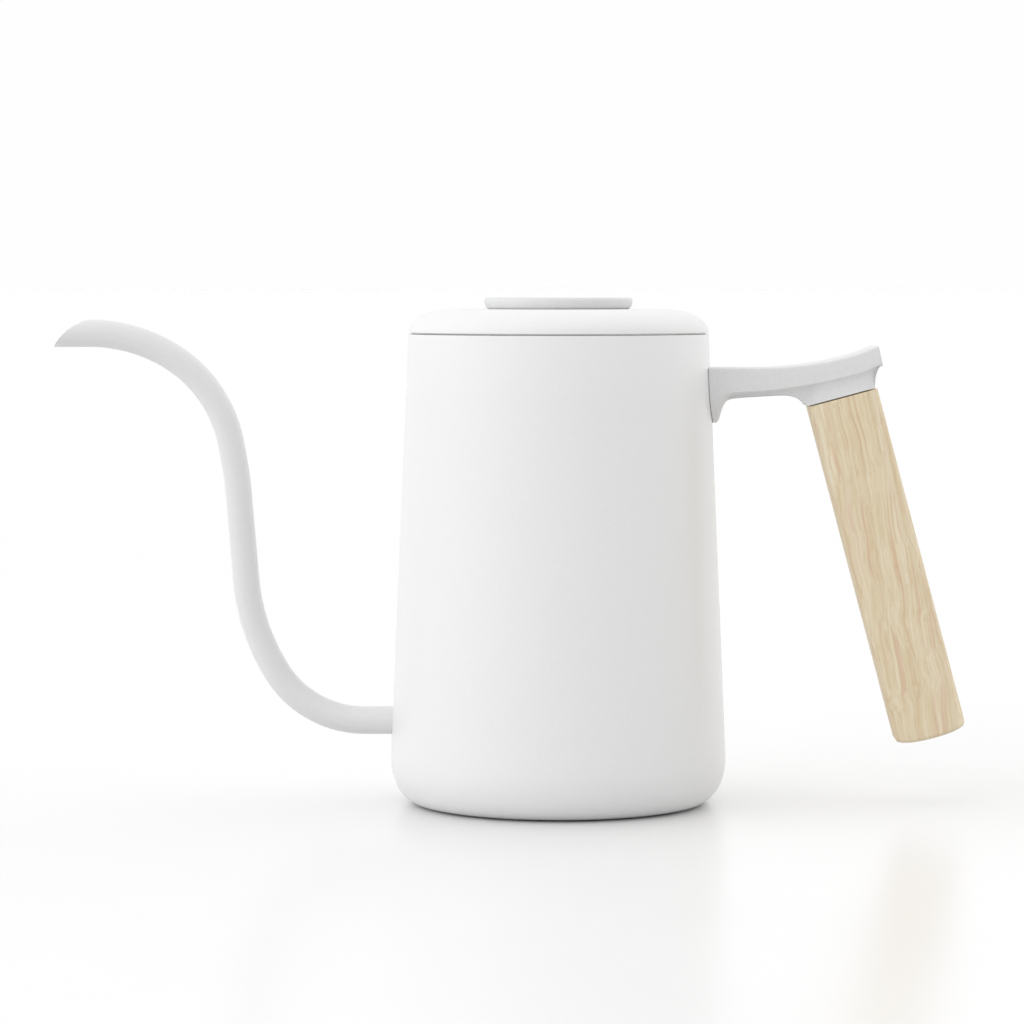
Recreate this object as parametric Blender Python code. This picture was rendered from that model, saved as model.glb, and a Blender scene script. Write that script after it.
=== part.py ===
"""Gooseneck pour-over kettle, built as the separate pieces it comes apart into.

Metres, +Z up. The origin is on the body's axis, on the surface the kettle stands on.
+X points to the handle and -X to the spout. The lid and its seal lift off along +Z.
"""

import math

import bmesh
import bpy
from mathutils import Matrix, Vector

MM = 0.001
ALONG_X = (0, math.pi / 2, 0)  # turn that lays a piece made along +Z along +X

# Fits
GAP = 0.3 * MM  # left between pieces that touch, seat on or pass through each other
SEAM_GAP = 0.4 * MM  # the open line between the body's rim and the lid's edge

# Body: a tapered drawn cup with a recessed foot
BASE_RADIUS = 48.0 * MM
TOP_RADIUS = 42.8 * MM
SEAM_HEIGHT = 134.4 * MM
CORNER_WIDTH = 8.0 * MM
CORNER_HEIGHT = 13.0 * MM
WALL = 0.8 * MM
FOOT_LIFT = 0.4 * MM  # the coated foot clears the surface, and the base cap touches it
FOOT_FLAT = 0.6 * MM
RECESS_DEPTH = 3.0 * MM

# Capsule base
CAP_WALL = 0.5 * MM
CAP_EDGE = 0.5 * MM

# Mouth
LEDGE_WIDTH = 6.5 * MM
NECK_WALL = 0.8 * MM
LEDGE_DROP = 0.5 * MM  # from the body's rim down to the ledge
RING_LIP = 3.0 * MM
NECK_DEPTH = 8.2 * MM

# Lid
LID_CORNER_WIDTH = 12.8 * MM
LID_HEIGHT = 6.7 * MM  # from the lid's edge to its flat top
PLUG_DEPTH = 5.0 * MM  # from the flange's underside to the plug's underside
PLUG_BEAD = 1.5 * MM
SEAL_THICKNESS = 1.8 * MM
SEAL_HEIGHT = 2.9 * MM
SEAL_WAIST = 0.6 * MM
VENT_MARGIN = 4.3 * MM  # from the liner's skirt to the vent bush
VENT_RADIUS = 2.5 * MM
VENT_BORE = 1.5 * MM

# Knob
KNOB_RADIUS = 21.1 * MM
KNOB_FOOT_RADIUS = 19.8 * MM
KNOB_THICKNESS = 2.9 * MM
KNOB_EDGE = 0.5 * MM
KNOB_STEM_RADIUS = 4.5 * MM
KNOB_PAD_RADIUS = 16.0 * MM
KNOB_PAD_THICKNESS = 0.5 * MM
KNOB_THREAD_DEPTH = 9.0 * MM

# Spout: a bent tube, thinner in the middle, with its tip cut on a round
SPOUT_ROOT_HEIGHT = 23.5 * MM
SPOUT_ROOT_RADIUS = 4.0 * MM
SPOUT_MIDDLE_RADIUS = 3.75 * MM
SPOUT_TIP_RADIUS = 3.95 * MM
SPOUT_WALL = 0.7 * MM
SPOUT_INSIDE = 1.0 * MM  # how far the tube's end stands inside the body
SPOUT_STUB = 9.8 * MM  # straight run from that end to the first bend
SPOUT_TIP_RUN = 10.0 * MM  # from the last bend to the foremost point of the tip
SPOUT_BENDS = (
    # radius and turn of each bend, or None and the length of a straight run
    (29.4 * MM, math.radians(-58.1)),
    (60.0 * MM, math.radians(-27.3)),
    (None, 23.0 * MM),
    (127.0 * MM, math.radians(7.8)),
    (37.0 * MM, math.radians(46.6)),
    (44.4 * MM, math.radians(31.0)),
)
TIP_CUT_RADIUS = 16.7 * MM
TIP_CUT_DROP = 12.2 * MM  # centre of the round cut below the tube's axis

# Handle arm
ARM_DROP = 9.8 * MM  # from the seam down to the arm's top
ARM_FLAT = 14.0 * MM  # level part of the arm, from the body's wall
ARM_REACH = 48.2 * MM  # from the body's wall to the arm's far upper edge
ARM_RISE_RADIUS = 95.0 * MM
ARM_ROOT_HEIGHT = 7.1 * MM
ARM_END_HEIGHT = 5.3 * MM
ARM_HALF_WIDTH = 9.5 * MM
WEB_DEPTH = 1.2 * MM
WEB_HALF_WIDTH = 7.0 * MM
WEB_FILLET = 3.5 * MM
PAD_THICKNESS = 2.6 * MM
PAD_DROP = 6.3 * MM  # straight sides of the pad, below the arm's top
PAD_INSET = 0.15 * MM  # the pad's sides and top lie just inside the arm's
GASKET_THICKNESS = 0.8 * MM
GASKET_INSET = 0.6 * MM

# Grip
GRIP_TILT = math.radians(15.0)
GRIP_REACH = 37.5 * MM  # from the body's wall to the middle of the grip's top
GRIP_DROP = 8.1 * MM  # from the arm's top down to the middle of the grip's top
GRIP_WIDTH = 20.4 * MM
GRIP_DEPTH = 17.0 * MM
GRIP_CORNER = 5.0 * MM
GRIP_LENGTH = 99.6 * MM
GRIP_CROWN_RADIUS = 49.0 * MM
COLLAR_HEIGHT = 9.0 * MM
COLLAR_FOOT = 0.4 * MM  # straight edge of the collar below the fillet
COLLAR_FILLET_END = math.radians(25.0)
SPACER_THICKNESS = 0.6 * MM
SPACER_INSET = 0.8 * MM

# Fasteners
M4_RADIUS = 2.0 * MM
M4_HEAD_RADIUS = 4.0 * MM
M4_HEAD_HEIGHT = 2.2 * MM
M4_SOCKET = 2.5 * MM  # across the flats
HANDLE_SCREW_LENGTH = 12.0 * MM
HANDLE_SCREW_OFFSET = 5.0 * MM  # each screw's distance from the middle plane
HANDLE_SCREW_DROP = 4.1 * MM  # below the arm's top
KNOB_SCREW_LENGTH = 8.0 * MM
WASHER_RADIUS = 4.5 * MM
WASHER_THICKNESS = 0.6 * MM
SCREW_SEAL_RADIUS = 4.2 * MM
SCREW_SEAL_LEAST = 0.5 * MM
M5_RADIUS = 2.5 * MM
M5_HEAD_RADIUS = 4.25 * MM
M5_HEAD_HEIGHT = 5.0 * MM
M5_SOCKET = 4.0 * MM
SOCKET_SHARE = 0.55  # of the head's height
INSERT_RADIUS = 4.0 * MM
INSERT_LENGTH = 7.0 * MM
INSERT_ROOM = 1.2 * MM  # clear above the insert, at the end of its hole
COUNTERBORE_RADIUS = 5.5 * MM
COUNTERBORE_DEPTH = 14.0 * MM

# Fineness of round shapes
BODY_STEPS = 48
CORE_STEPS = 96
KNOB_STEPS = 40
FASTENER_STEPS = 16
TUBE_SIDES = 16
ARC_STEPS = 6
BEND_STEP = math.radians(9.0)

# Places worked out from the sizes above
RIM_HEIGHT = SEAM_HEIGHT - SEAM_GAP / 2
LID_EDGE_HEIGHT = SEAM_HEIGHT + SEAM_GAP / 2
LID_TOP = LID_EDGE_HEIGHT + LID_HEIGHT
CORNER_CENTRE = BASE_RADIUS - CORNER_WIDTH
RECESS_RADIUS = CORNER_CENTRE - WALL - FOOT_FLAT
RECESS_HEIGHT = FOOT_LIFT + RECESS_DEPTH
LEDGE_HEIGHT = RIM_HEIGHT - LEDGE_DROP
NECK_BOTTOM = LEDGE_HEIGHT - NECK_DEPTH
FLANGE_BOTTOM = LEDGE_HEIGHT + GAP
PLUG_BOTTOM = FLANGE_BOTTOM - PLUG_DEPTH
NECK_RADIUS = TOP_RADIUS - WALL - LEDGE_WIDTH
SEAL_OUTER = NECK_RADIUS - GAP
SEAL_INNER = SEAL_OUTER - SEAL_THICKNESS
SEAL_BOTTOM = PLUG_BOTTOM + WALL + GAP
SKIRT_RADIUS = SEAL_INNER - GAP
VENT_OFFSET = SKIRT_RADIUS - WALL - VENT_MARGIN - VENT_RADIUS
KNOB_BOTTOM = LID_TOP + GAP
KNOB_TOP = KNOB_BOTTOM + KNOB_THICKNESS
STEM_BOTTOM = PLUG_BOTTOM + WALL + GAP
M4_HOLE = M4_RADIUS + GAP
M5_HOLE = M5_RADIUS + GAP
ARM_TOP = SEAM_HEIGHT - ARM_DROP
SCREW_HEIGHT = ARM_TOP - HANDLE_SCREW_DROP


def wall_radius(height):
    """Outer radius of the body's straight taper at a height."""
    share = (height - CORNER_HEIGHT) / (SEAM_HEIGHT - CORNER_HEIGHT)
    return BASE_RADIUS + share * (TOP_RADIUS - BASE_RADIUS)


ARM_ROOT = wall_radius(ARM_TOP)
GRIP_TOP = Vector((ARM_ROOT + GRIP_REACH, 0, ARM_TOP - GRIP_DROP))
WOOD_TOP = -(SPACER_THICKNESS + 2 * GAP)


# ---------------------------------------------------------------- helpers


def material(name, colour, roughness, metallic=0.0):
    made = bpy.data.materials.new(name)
    made.use_nodes = True
    shader = made.node_tree.nodes["Principled BSDF"]
    shader.inputs["Base Color"].default_value = (*colour, 1.0)
    shader.inputs["Roughness"].default_value = roughness
    shader.inputs["Metallic"].default_value = metallic
    return made


def place(name, mesh, finish=None):
    """An object for the mesh, in the scene, in its material."""
    made = bpy.data.objects.new(name, mesh)
    bpy.context.scene.collection.objects.link(made)
    if finish:
        mesh.materials.append(finish)
    return made


def mesh_from(shape, name):
    """The bmesh as a mesh with its faces turned outwards and round stretches shaded smooth."""
    bmesh.ops.recalc_face_normals(shape, faces=shape.faces)
    mesh = bpy.data.meshes.new(name)
    shape.to_mesh(mesh)
    shape.free()
    mesh.shade_smooth()
    mesh.set_sharp_from_angle(angle=math.radians(35))
    return mesh


def ellipse(centre, across, up, first, last, steps=ARC_STEPS):
    """Points of an elliptical arc, with both ends, between two angles in degrees."""
    points = []
    for i in range(steps + 1):
        angle = math.radians(first + (last - first) * i / steps)
        points.append((centre[0] + across * math.cos(angle), centre[1] + up * math.sin(angle)))
    return points


def turned(name, profile, finish=None, steps=BODY_STEPS, ring=True):
    """A body of revolution about Z. The profile runs down the outer side; a ring's is a closed loop."""
    mesh = bpy.data.meshes.new(name)
    count = len(profile)
    edges = [(i, (i + 1) % count) for i in range(count if ring else count - 1)]
    mesh.from_pydata([(radius, 0, height) for radius, height in profile], edges, [])
    made = place(name, mesh, finish)
    screw = made.modifiers.new("turn", "SCREW")
    screw.steps = steps
    screw.render_steps = steps
    screw.use_merge_vertices = True
    screw.merge_threshold = 0.01 * MM
    screw.use_smooth_shade = True
    return made


def prism(name, outline, near, far, finish=None, about=Matrix()):
    """An outline in X and Z drawn out along Y, or turned into place by the matrix."""
    shape = bmesh.new()
    corners = [shape.verts.new((x, near, z)) for x, z in outline]
    face = shape.faces.new(corners)
    sides = bmesh.ops.extrude_face_region(shape, geom=[face])["geom"]
    moved = [item for item in sides if isinstance(item, bmesh.types.BMVert)]
    bmesh.ops.translate(shape, verts=moved, vec=(0, far - near, 0))
    bmesh.ops.transform(shape, matrix=about, verts=shape.verts)
    return place(name, mesh_from(shape, name), finish)


def cylinder_mesh(name, radius, low, high, sides=FASTENER_STEPS):
    """A cylinder along Z between two heights, with a flat and not an edge towards each axis."""
    shape = bmesh.new()
    middle = Matrix.Translation((0, 0, (low + high) / 2)) @ Matrix.Rotation(math.pi / sides, 4, "Z")
    bmesh.ops.create_cone(
        shape, cap_ends=True, segments=sides, radius1=radius, radius2=radius, depth=high - low, matrix=middle
    )
    return mesh_from(shape, name)


def boolean(target, other, operation="DIFFERENCE"):
    """Cuts, joins or trims the target by a helper, which is left out of the model."""
    other.hide_render = True
    other.display_type = "WIRE"
    step = target.modifiers.new(other.name, "BOOLEAN")
    step.operation = operation
    step.object = other


def drill(target, name, radius, low, high, spot, turn=(0, 0, 0)):
    """A round hole along the turned Z axis at a place."""
    cutter = place(name, cylinder_mesh(name, radius, low, high))
    cutter.location = spot
    cutter.rotation_euler = turn
    boolean(target, cutter)


def beyond_arc(name, radius, first, last, reach, half_width):
    """A cutter for all that lies outside a round, between two angles in degrees, about Y."""
    inner = ellipse((0, 0), radius, radius, first, last, 2 * ARC_STEPS)
    outer = ellipse((0, 0), radius + reach, radius + reach, last, first, 2 * ARC_STEPS)
    return prism(name, inner + outer, -half_width, half_width)


def body_core(name, offset, low, high):
    """A solid with the body's taper, offset from its outer surface, between two heights."""
    profile = [(0, high), (wall_radius(high) + offset, high), (wall_radius(low) + offset, low), (0, low)]
    core = turned(name, profile, steps=CORE_STEPS, ring=False)
    core.rotation_euler.z = math.pi / CORE_STEPS
    return core


# ---------------------------------------------------------------- body and base


def body_shell(finish):
    floor = RECESS_HEIGHT + WALL
    inside_corner = ellipse(
        (CORNER_CENTRE, CORNER_HEIGHT), CORNER_WIDTH - WALL, CORNER_HEIGHT - FOOT_LIFT - WALL, -90, 0
    )
    outside_corner = ellipse(
        (CORNER_CENTRE, CORNER_HEIGHT), CORNER_WIDTH, CORNER_HEIGHT - FOOT_LIFT, 0, -90
    )
    profile = [(0, floor), (RECESS_RADIUS + WALL, floor), (RECESS_RADIUS + WALL, FOOT_LIFT + WALL)]
    profile += inside_corner
    profile += [(wall_radius(RIM_HEIGHT) - WALL, RIM_HEIGHT), (wall_radius(RIM_HEIGHT), RIM_HEIGHT)]
    profile += outside_corner
    profile += [(RECESS_RADIUS, FOOT_LIFT), (RECESS_RADIUS, RECESS_HEIGHT), (0, RECESS_HEIGHT)]
    shell = turned("body_shell", profile, finish, ring=False)
    depth = BASE_RADIUS / 2
    spot = (-wall_radius(SPOUT_ROOT_HEIGHT), 0, SPOUT_ROOT_HEIGHT)
    drill(shell, "spout_hole", SPOUT_ROOT_RADIUS + GAP, -depth, depth, spot, ALONG_X)
    for number, side in ((1, -1), (2, 1)):
        spot = (ARM_ROOT, side * HANDLE_SCREW_OFFSET, SCREW_HEIGHT)
        drill(shell, f"shell_screw_hole_{number}", M4_HOLE, -depth, depth, spot, ALONG_X)


def capsule_base(spreader_finish, cap_finish):
    cap_radius = RECESS_RADIUS - GAP
    cap_height = RECESS_HEIGHT - 2 * GAP
    inner = cap_radius - CAP_WALL
    edge = ellipse((cap_radius - CAP_EDGE, CAP_EDGE), CAP_EDGE, CAP_EDGE, 0, -90, 2)
    cap = [(0, CAP_WALL), (inner, CAP_WALL), (inner, cap_height), (cap_radius, cap_height)]
    turned("base_cap", cap + edge + [(0, 0)], cap_finish, ring=False)
    low = CAP_WALL + GAP
    high = RECESS_HEIGHT - GAP
    spreader = [(0, high), (inner - GAP, high), (inner - GAP, low), (0, low)]
    turned("base_disc", spreader, spreader_finish, ring=False)


def neck_ring(finish):
    outer = wall_radius(LEDGE_HEIGHT) - WALL - GAP
    under = LEDGE_HEIGHT - NECK_WALL
    profile = [
        (outer, LEDGE_HEIGHT),
        (outer, LEDGE_HEIGHT - RING_LIP),
        (outer - NECK_WALL, LEDGE_HEIGHT - RING_LIP),
        (outer - NECK_WALL, under),
        (NECK_RADIUS + NECK_WALL, under),
        (NECK_RADIUS + NECK_WALL, NECK_BOTTOM),
        (NECK_RADIUS, NECK_BOTTOM),
        (NECK_RADIUS, LEDGE_HEIGHT),
    ]
    turned("neck_ring", profile, finish)


# ---------------------------------------------------------------- spout


def spout_course():
    """Stations (x, z, heading) along the tube's axis, which leaves the body towards -X."""
    x = -wall_radius(SPOUT_ROOT_HEIGHT) + WALL + SPOUT_INSIDE
    z = SPOUT_ROOT_HEIGHT
    heading = math.pi
    stations = [(x, z, heading)]
    runs = [(None, SPOUT_STUB), *SPOUT_BENDS, (None, SPOUT_TIP_RUN + SPOUT_TIP_RADIUS)]
    for radius, amount in runs:
        steps = 3 if radius is None else max(2, round(abs(amount) / BEND_STEP))
        length = amount if radius is None else 2 * radius * math.sin(abs(amount) / steps / 2) * steps
        for _ in range(steps):
            turn = 0 if radius is None else amount / steps
            x += length / steps * math.cos(heading + turn / 2)
            z += length / steps * math.sin(heading + turn / 2)
            heading += turn
            stations.append((x, z, heading))
    return stations


def tube_ring(shape, station, radius):
    x, z, heading = station
    ring = []
    for i in range(TUBE_SIDES):
        angle = 2 * math.pi * i / TUBE_SIDES
        lift = radius * math.cos(angle)
        spot = (x - lift * math.sin(heading), radius * math.sin(angle), z + lift * math.cos(heading))
        ring.append(shape.verts.new(spot))
    return ring


def bridge(shape, first, second):
    for i in range(len(first)):
        j = (i + 1) % len(first)
        shape.faces.new((first[i], first[j], second[j], second[i]))


def spout_tube(finish):
    course = spout_course()
    shape = bmesh.new()
    outer = []
    inner = []
    for i, station in enumerate(course):
        share = i / (len(course) - 1)
        end = SPOUT_ROOT_RADIUS if share < 0.5 else SPOUT_TIP_RADIUS
        radius = SPOUT_MIDDLE_RADIUS + (end - SPOUT_MIDDLE_RADIUS) * abs(2 * share - 1)
        outer.append(tube_ring(shape, station, radius))
        inner.append(tube_ring(shape, station, radius - SPOUT_WALL))
    for rings in (outer, inner):
        for i in range(len(rings) - 1):
            bridge(shape, rings[i], rings[i + 1])
    bridge(shape, outer[0], inner[0])
    bridge(shape, outer[-1], inner[-1])
    tube = place("spout_tube", mesh_from(shape, "spout_tube"), finish)
    end_x, end_z, _ = course[-1]
    cutter = beyond_arc("tip_cut", TIP_CUT_RADIUS, 80, 210, 4 * SPOUT_ROOT_RADIUS, 2 * SPOUT_ROOT_RADIUS)
    lowest = math.sqrt(TIP_CUT_RADIUS**2 - (TIP_CUT_DROP - SPOUT_TIP_RADIUS) ** 2)
    cutter.location = (end_x + SPOUT_TIP_RADIUS + lowest, 0, end_z - TIP_CUT_DROP)
    boolean(tube, cutter)


# ---------------------------------------------------------------- handle


def arm_outline():
    """The arm's side view: level, then rising on a round to an end parallel to the grip."""
    rise_x = ARM_ROOT + ARM_FLAT
    end_x = ARM_ROOT + ARM_REACH
    swing = math.degrees(math.asin((end_x - rise_x) / ARM_RISE_RADIUS))
    top = ellipse((rise_x, ARM_TOP + ARM_RISE_RADIUS), ARM_RISE_RADIUS, ARM_RISE_RADIUS, -90, swing - 90)
    low_x = end_x + ARM_END_HEIGHT * math.sin(GRIP_TILT)
    low_z = top[-1][1] - ARM_END_HEIGHT * math.cos(GRIP_TILT)
    crease = ARM_TOP - ARM_ROOT_HEIGHT
    run = low_x - rise_x
    rise = low_z - crease
    radius = (run**2 + rise**2) / (2 * rise)
    swing = math.degrees(math.asin(run / radius))
    bottom = ellipse((rise_x, crease + radius), radius, radius, swing - 90, -90)
    root = ARM_ROOT - PAD_THICKNESS
    return [(root, ARM_TOP)] + top + bottom + [(root, crease)]


def web_outline():
    """What hangs below the arm's crease: the fillets to the pad and to the collar."""
    under = ARM_TOP - ARM_ROOT_HEIGHT - WEB_DEPTH
    pad_face = wall_radius(under) + PAD_THICKNESS + GASKET_THICKNESS
    root = ARM_ROOT - 2 * PAD_THICKNESS
    half = GRIP_WIDTH / 2
    foot = (GRIP_TOP.x - COLLAR_FOOT * math.sin(GRIP_TILT), GRIP_TOP.z + COLLAR_FOOT * math.cos(GRIP_TILT))
    corner = (foot[0] - half * math.cos(GRIP_TILT), foot[1] - half * math.sin(GRIP_TILT))
    fillet = (under - corner[1]) / (1 - math.sin(COLLAR_FILLET_END))
    centre = (corner[0] - fillet * math.cos(COLLAR_FILLET_END), under - fillet)
    middle = ARM_TOP - ARM_ROOT_HEIGHT / 2
    outline = [(root, middle), (root, under - WEB_FILLET)]
    outline += ellipse((pad_face + WEB_FILLET, under - WEB_FILLET), WEB_FILLET, WEB_FILLET, 180, 90)
    outline += ellipse(centre, fillet, fillet, 90, math.degrees(COLLAR_FILLET_END))
    return outline + [foot, (foot[0], middle)]


def pad_outline(inset):
    """The pad's front view in Y and height: straight sides and a round bottom."""
    half = ARM_HALF_WIDTH - inset
    foot = ellipse((0, ARM_TOP - PAD_DROP), half, half, 0, -180, 2 * ARC_STEPS)
    return [(half, ARM_TOP - inset)] + foot + [(-half, ARM_TOP - inset)]


def facing_x():
    """Matrix that turns an XZ outline drawn out along Y to face +X."""
    return Matrix.Rotation(math.radians(90), 4, "Z") @ Matrix.Scale(-1, 4, (0, 1, 0))


def grip_outline(inset=0.0, steps=4):
    """The grip's section: a rectangle with round corners."""
    across = GRIP_WIDTH / 2 - inset
    deep = GRIP_DEPTH / 2 - inset
    corner = GRIP_CORNER - inset
    outline = []
    for sign_x, sign_y, first in ((1, 1, 0), (-1, 1, 90), (-1, -1, 180), (1, -1, 270)):
        centre = (sign_x * (across - corner), sign_y * (deep - corner))
        outline += ellipse(centre, corner, corner, first, first + 90, steps)
    return outline


def grip_prism(name, low, high, inset, finish=None):
    """The grip's section between two heights in the grip's own upright frame."""
    stand_up = Matrix.Rotation(math.radians(90), 4, "X")
    return prism(name, grip_outline(inset), low, high, finish, stand_up)


def in_grip_frame(pieces):
    """Parents pieces to an empty at the middle of the grip's top, tilted with the grip."""
    frame = bpy.data.objects.get("grip_frame")
    if frame is None:
        frame = bpy.data.objects.new("grip_frame", None)
        bpy.context.scene.collection.objects.link(frame)
        frame.location = GRIP_TOP
        frame.rotation_euler = (0, -GRIP_TILT, 0)
    for piece in pieces:
        piece.parent = frame


def handle_bracket(finish):
    arm = prism("handle_bracket", arm_outline(), -ARM_HALF_WIDTH, ARM_HALF_WIDTH, finish)
    web = prism("bracket_web", web_outline(), -WEB_HALF_WIDTH, WEB_HALF_WIDTH)
    face = wall_radius(ARM_TOP - ARM_ROOT_HEIGHT - WEB_DEPTH) + PAD_THICKNESS + GASKET_THICKNESS
    pad = prism("bracket_pad", pad_outline(PAD_INSET), ARM_ROOT / 2, face - PAD_INSET, about=facing_x())
    collar = grip_prism("bracket_collar", 0, COLLAR_HEIGHT, 0)
    in_grip_frame([collar])
    for piece in (web, pad, collar):
        boolean(arm, piece, "UNION")
    offset = GASKET_THICKNESS + 2 * GAP
    low = ARM_TOP - PAD_DROP - 2 * ARM_HALF_WIDTH
    boolean(arm, body_core("bracket_clearance", offset, low, SEAM_HEIGHT))
    reach = HANDLE_SCREW_LENGTH + 2 * GAP
    for number, side in ((1, -1), (2, 1)):
        spot = (ARM_ROOT, side * HANDLE_SCREW_OFFSET, SCREW_HEIGHT)
        drill(arm, f"bracket_screw_hole_{number}", M4_HOLE, -reach, reach, spot, ALONG_X)
    hole_top = INSERT_LENGTH + GAP + INSERT_ROOM
    hole = place("insert_hole", cylinder_mesh("insert_hole", INSERT_RADIUS + GAP, -hole_top, hole_top))
    in_grip_frame([hole])
    boolean(arm, hole)


def handle_gasket(finish):
    gasket = prism(
        "handle_gasket", pad_outline(GASKET_INSET), ARM_ROOT / 2, 2 * ARM_ROOT, finish, facing_x()
    )
    low = ARM_TOP - PAD_DROP - 2 * ARM_HALF_WIDTH
    boolean(gasket, body_core("gasket_face", GAP + GASKET_THICKNESS, low, SEAM_HEIGHT), "INTERSECT")
    boolean(gasket, body_core("gasket_back", GAP, low - WALL, SEAM_HEIGHT + WALL))
    for number, side in ((1, -1), (2, 1)):
        spot = (ARM_ROOT, side * HANDLE_SCREW_OFFSET, SCREW_HEIGHT)
        drill(gasket, f"gasket_hole_{number}", M4_HOLE, -ARM_ROOT / 2, ARM_ROOT / 2, spot, ALONG_X)


def screw_profile(radius, length, head_radius, head_height):
    """A screw with its head below Z = 0 and its shank above."""
    chamfer = radius / 4
    return [
        (0, length),
        (radius - chamfer, length),
        (radius, length - chamfer),
        (radius, 0),
        (head_radius, 0),
        (head_radius, chamfer - head_height),
        (head_radius - chamfer, -head_height),
        (0, -head_height),
    ]


def screw(name, radius, length, head_radius, head_height, socket, finish):
    profile = screw_profile(radius, length, head_radius, head_height)
    made = turned(name, profile, finish, FASTENER_STEPS, ring=False)
    depth = SOCKET_SHARE * head_height
    corner = socket / math.sqrt(3)
    mesh = cylinder_mesh(name + "_socket", corner, -2 * head_height, depth - head_height, 6)
    key = place(name + "_socket", mesh)
    key.parent = made
    boolean(made, key)
    return made


def washer(name, outer, inner, thickness, finish):
    """A flat washer standing on Z = 0."""
    profile = [(outer, thickness), (outer, 0), (inner, 0), (inner, thickness)]
    return turned(name, profile, finish, FASTENER_STEPS)


def handle_screws(steel, rubber):
    far = HANDLE_SCREW_OFFSET + SCREW_SEAL_RADIUS
    inside = wall_radius(SCREW_HEIGHT + SCREW_SEAL_RADIUS) - WALL - GAP
    seal_face = math.sqrt(inside**2 - far**2) - SCREW_SEAL_LEAST
    washer_face = seal_face - GAP - WASHER_THICKNESS
    for number, side in ((1, -1), (2, 1)):
        y = side * HANDLE_SCREW_OFFSET
        seal = washer(f"screw_seal_{number}", SCREW_SEAL_RADIUS, M4_HOLE, inside - seal_face, rubber)
        trim = body_core(
            f"seal_trim_{number}", -WALL - GAP, SCREW_HEIGHT - WASHER_RADIUS, SCREW_HEIGHT + WASHER_RADIUS
        )
        boolean(seal, trim, "INTERSECT")
        flat = washer(f"screw_washer_{number}", WASHER_RADIUS, M4_HOLE, WASHER_THICKNESS, steel)
        bolt = screw(
            f"handle_screw_{number}", M4_RADIUS, HANDLE_SCREW_LENGTH, M4_HEAD_RADIUS, M4_HEAD_HEIGHT,
            M4_SOCKET, steel,
        )
        for piece, x in ((seal, seal_face), (flat, washer_face), (bolt, washer_face - GAP)):
            piece.location = (x, y, SCREW_HEIGHT)
            piece.rotation_euler = ALONG_X


def grip_parts(wood, steel, spacer_finish):
    insert = washer("bracket_insert", INSERT_RADIUS, M5_HOLE, INSERT_LENGTH, steel)
    insert.location = (0, 0, GAP)
    spacer = grip_prism("grip_spacer", -GAP - SPACER_THICKNESS, -GAP, SPACER_INSET, spacer_finish)
    bottom = WOOD_TOP - GRIP_LENGTH
    grip = grip_prism("wood_grip", bottom, WOOD_TOP, 0, wood)
    crown = beyond_arc("grip_crown", GRIP_CROWN_RADIUS, 245, 295, GRIP_WIDTH, GRIP_DEPTH)
    crown.location = (0, 0, bottom + GRIP_CROWN_RADIUS)
    pocket_top = bottom + COUNTERBORE_DEPTH
    bore = place("grip_bore", cylinder_mesh("grip_bore", M5_HOLE, pocket_top - GRIP_DEPTH / 2, GRIP_WIDTH))
    pocket = place(
        "grip_pocket", cylinder_mesh("grip_pocket", COUNTERBORE_RADIUS, bottom - GRIP_DEPTH, pocket_top)
    )
    seat = pocket_top - GAP - WASHER_THICKNESS
    flat = washer("grip_washer", COUNTERBORE_RADIUS - GAP, M5_HOLE, WASHER_THICKNESS, steel)
    flat.location = (0, 0, seat)
    head = seat - GAP
    length = INSERT_LENGTH - head
    bolt = screw("grip_bolt", M5_RADIUS, length, M5_HEAD_RADIUS, M5_HEAD_HEIGHT, M5_SOCKET, steel)
    bolt.location = (0, 0, head)
    in_grip_frame([insert, spacer, grip, crown, bore, pocket, flat, bolt])
    for cutter in (crown, pocket, bore):
        boolean(grip, cutter)
    boolean(spacer, bore)


# ---------------------------------------------------------------- lid


def lid_shell(finish):
    hole = KNOB_STEM_RADIUS + GAP
    centre = (TOP_RADIUS - LID_CORNER_WIDTH, LID_EDGE_HEIGHT)
    profile = [(hole, LID_TOP)]
    profile += ellipse(centre, LID_CORNER_WIDTH, LID_HEIGHT, 90, 0)
    profile += ellipse(centre, LID_CORNER_WIDTH - WALL, LID_HEIGHT - WALL, 0, 90)
    profile += [(hole, LID_TOP - WALL)]
    shell = turned("lid_shell", profile, finish)
    drill(shell, "shell_vent_hole", VENT_RADIUS + GAP, PLUG_BOTTOM, KNOB_TOP, (-VENT_OFFSET, 0, 0))


def lid_liner(finish):
    outer = TOP_RADIUS - WALL - GAP
    flange_top = FLANGE_BOTTOM + WALL
    bead = SKIRT_RADIUS + PLUG_BEAD
    profile = [
        (outer, flange_top),
        (outer, FLANGE_BOTTOM),
        (SKIRT_RADIUS, FLANGE_BOTTOM),
        (SKIRT_RADIUS, PLUG_BOTTOM + WALL),
        (bead, PLUG_BOTTOM + WALL),
        (bead, PLUG_BOTTOM),
        (M4_HOLE, PLUG_BOTTOM),
        (M4_HOLE, PLUG_BOTTOM + WALL),
        (SKIRT_RADIUS - WALL, PLUG_BOTTOM + WALL),
        (SKIRT_RADIUS - WALL, flange_top),
    ]
    liner = turned("lid_liner", profile, finish)
    drill(liner, "liner_vent_hole", VENT_RADIUS + GAP, NECK_BOTTOM, LID_TOP, (-VENT_OFFSET, 0, 0))


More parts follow.
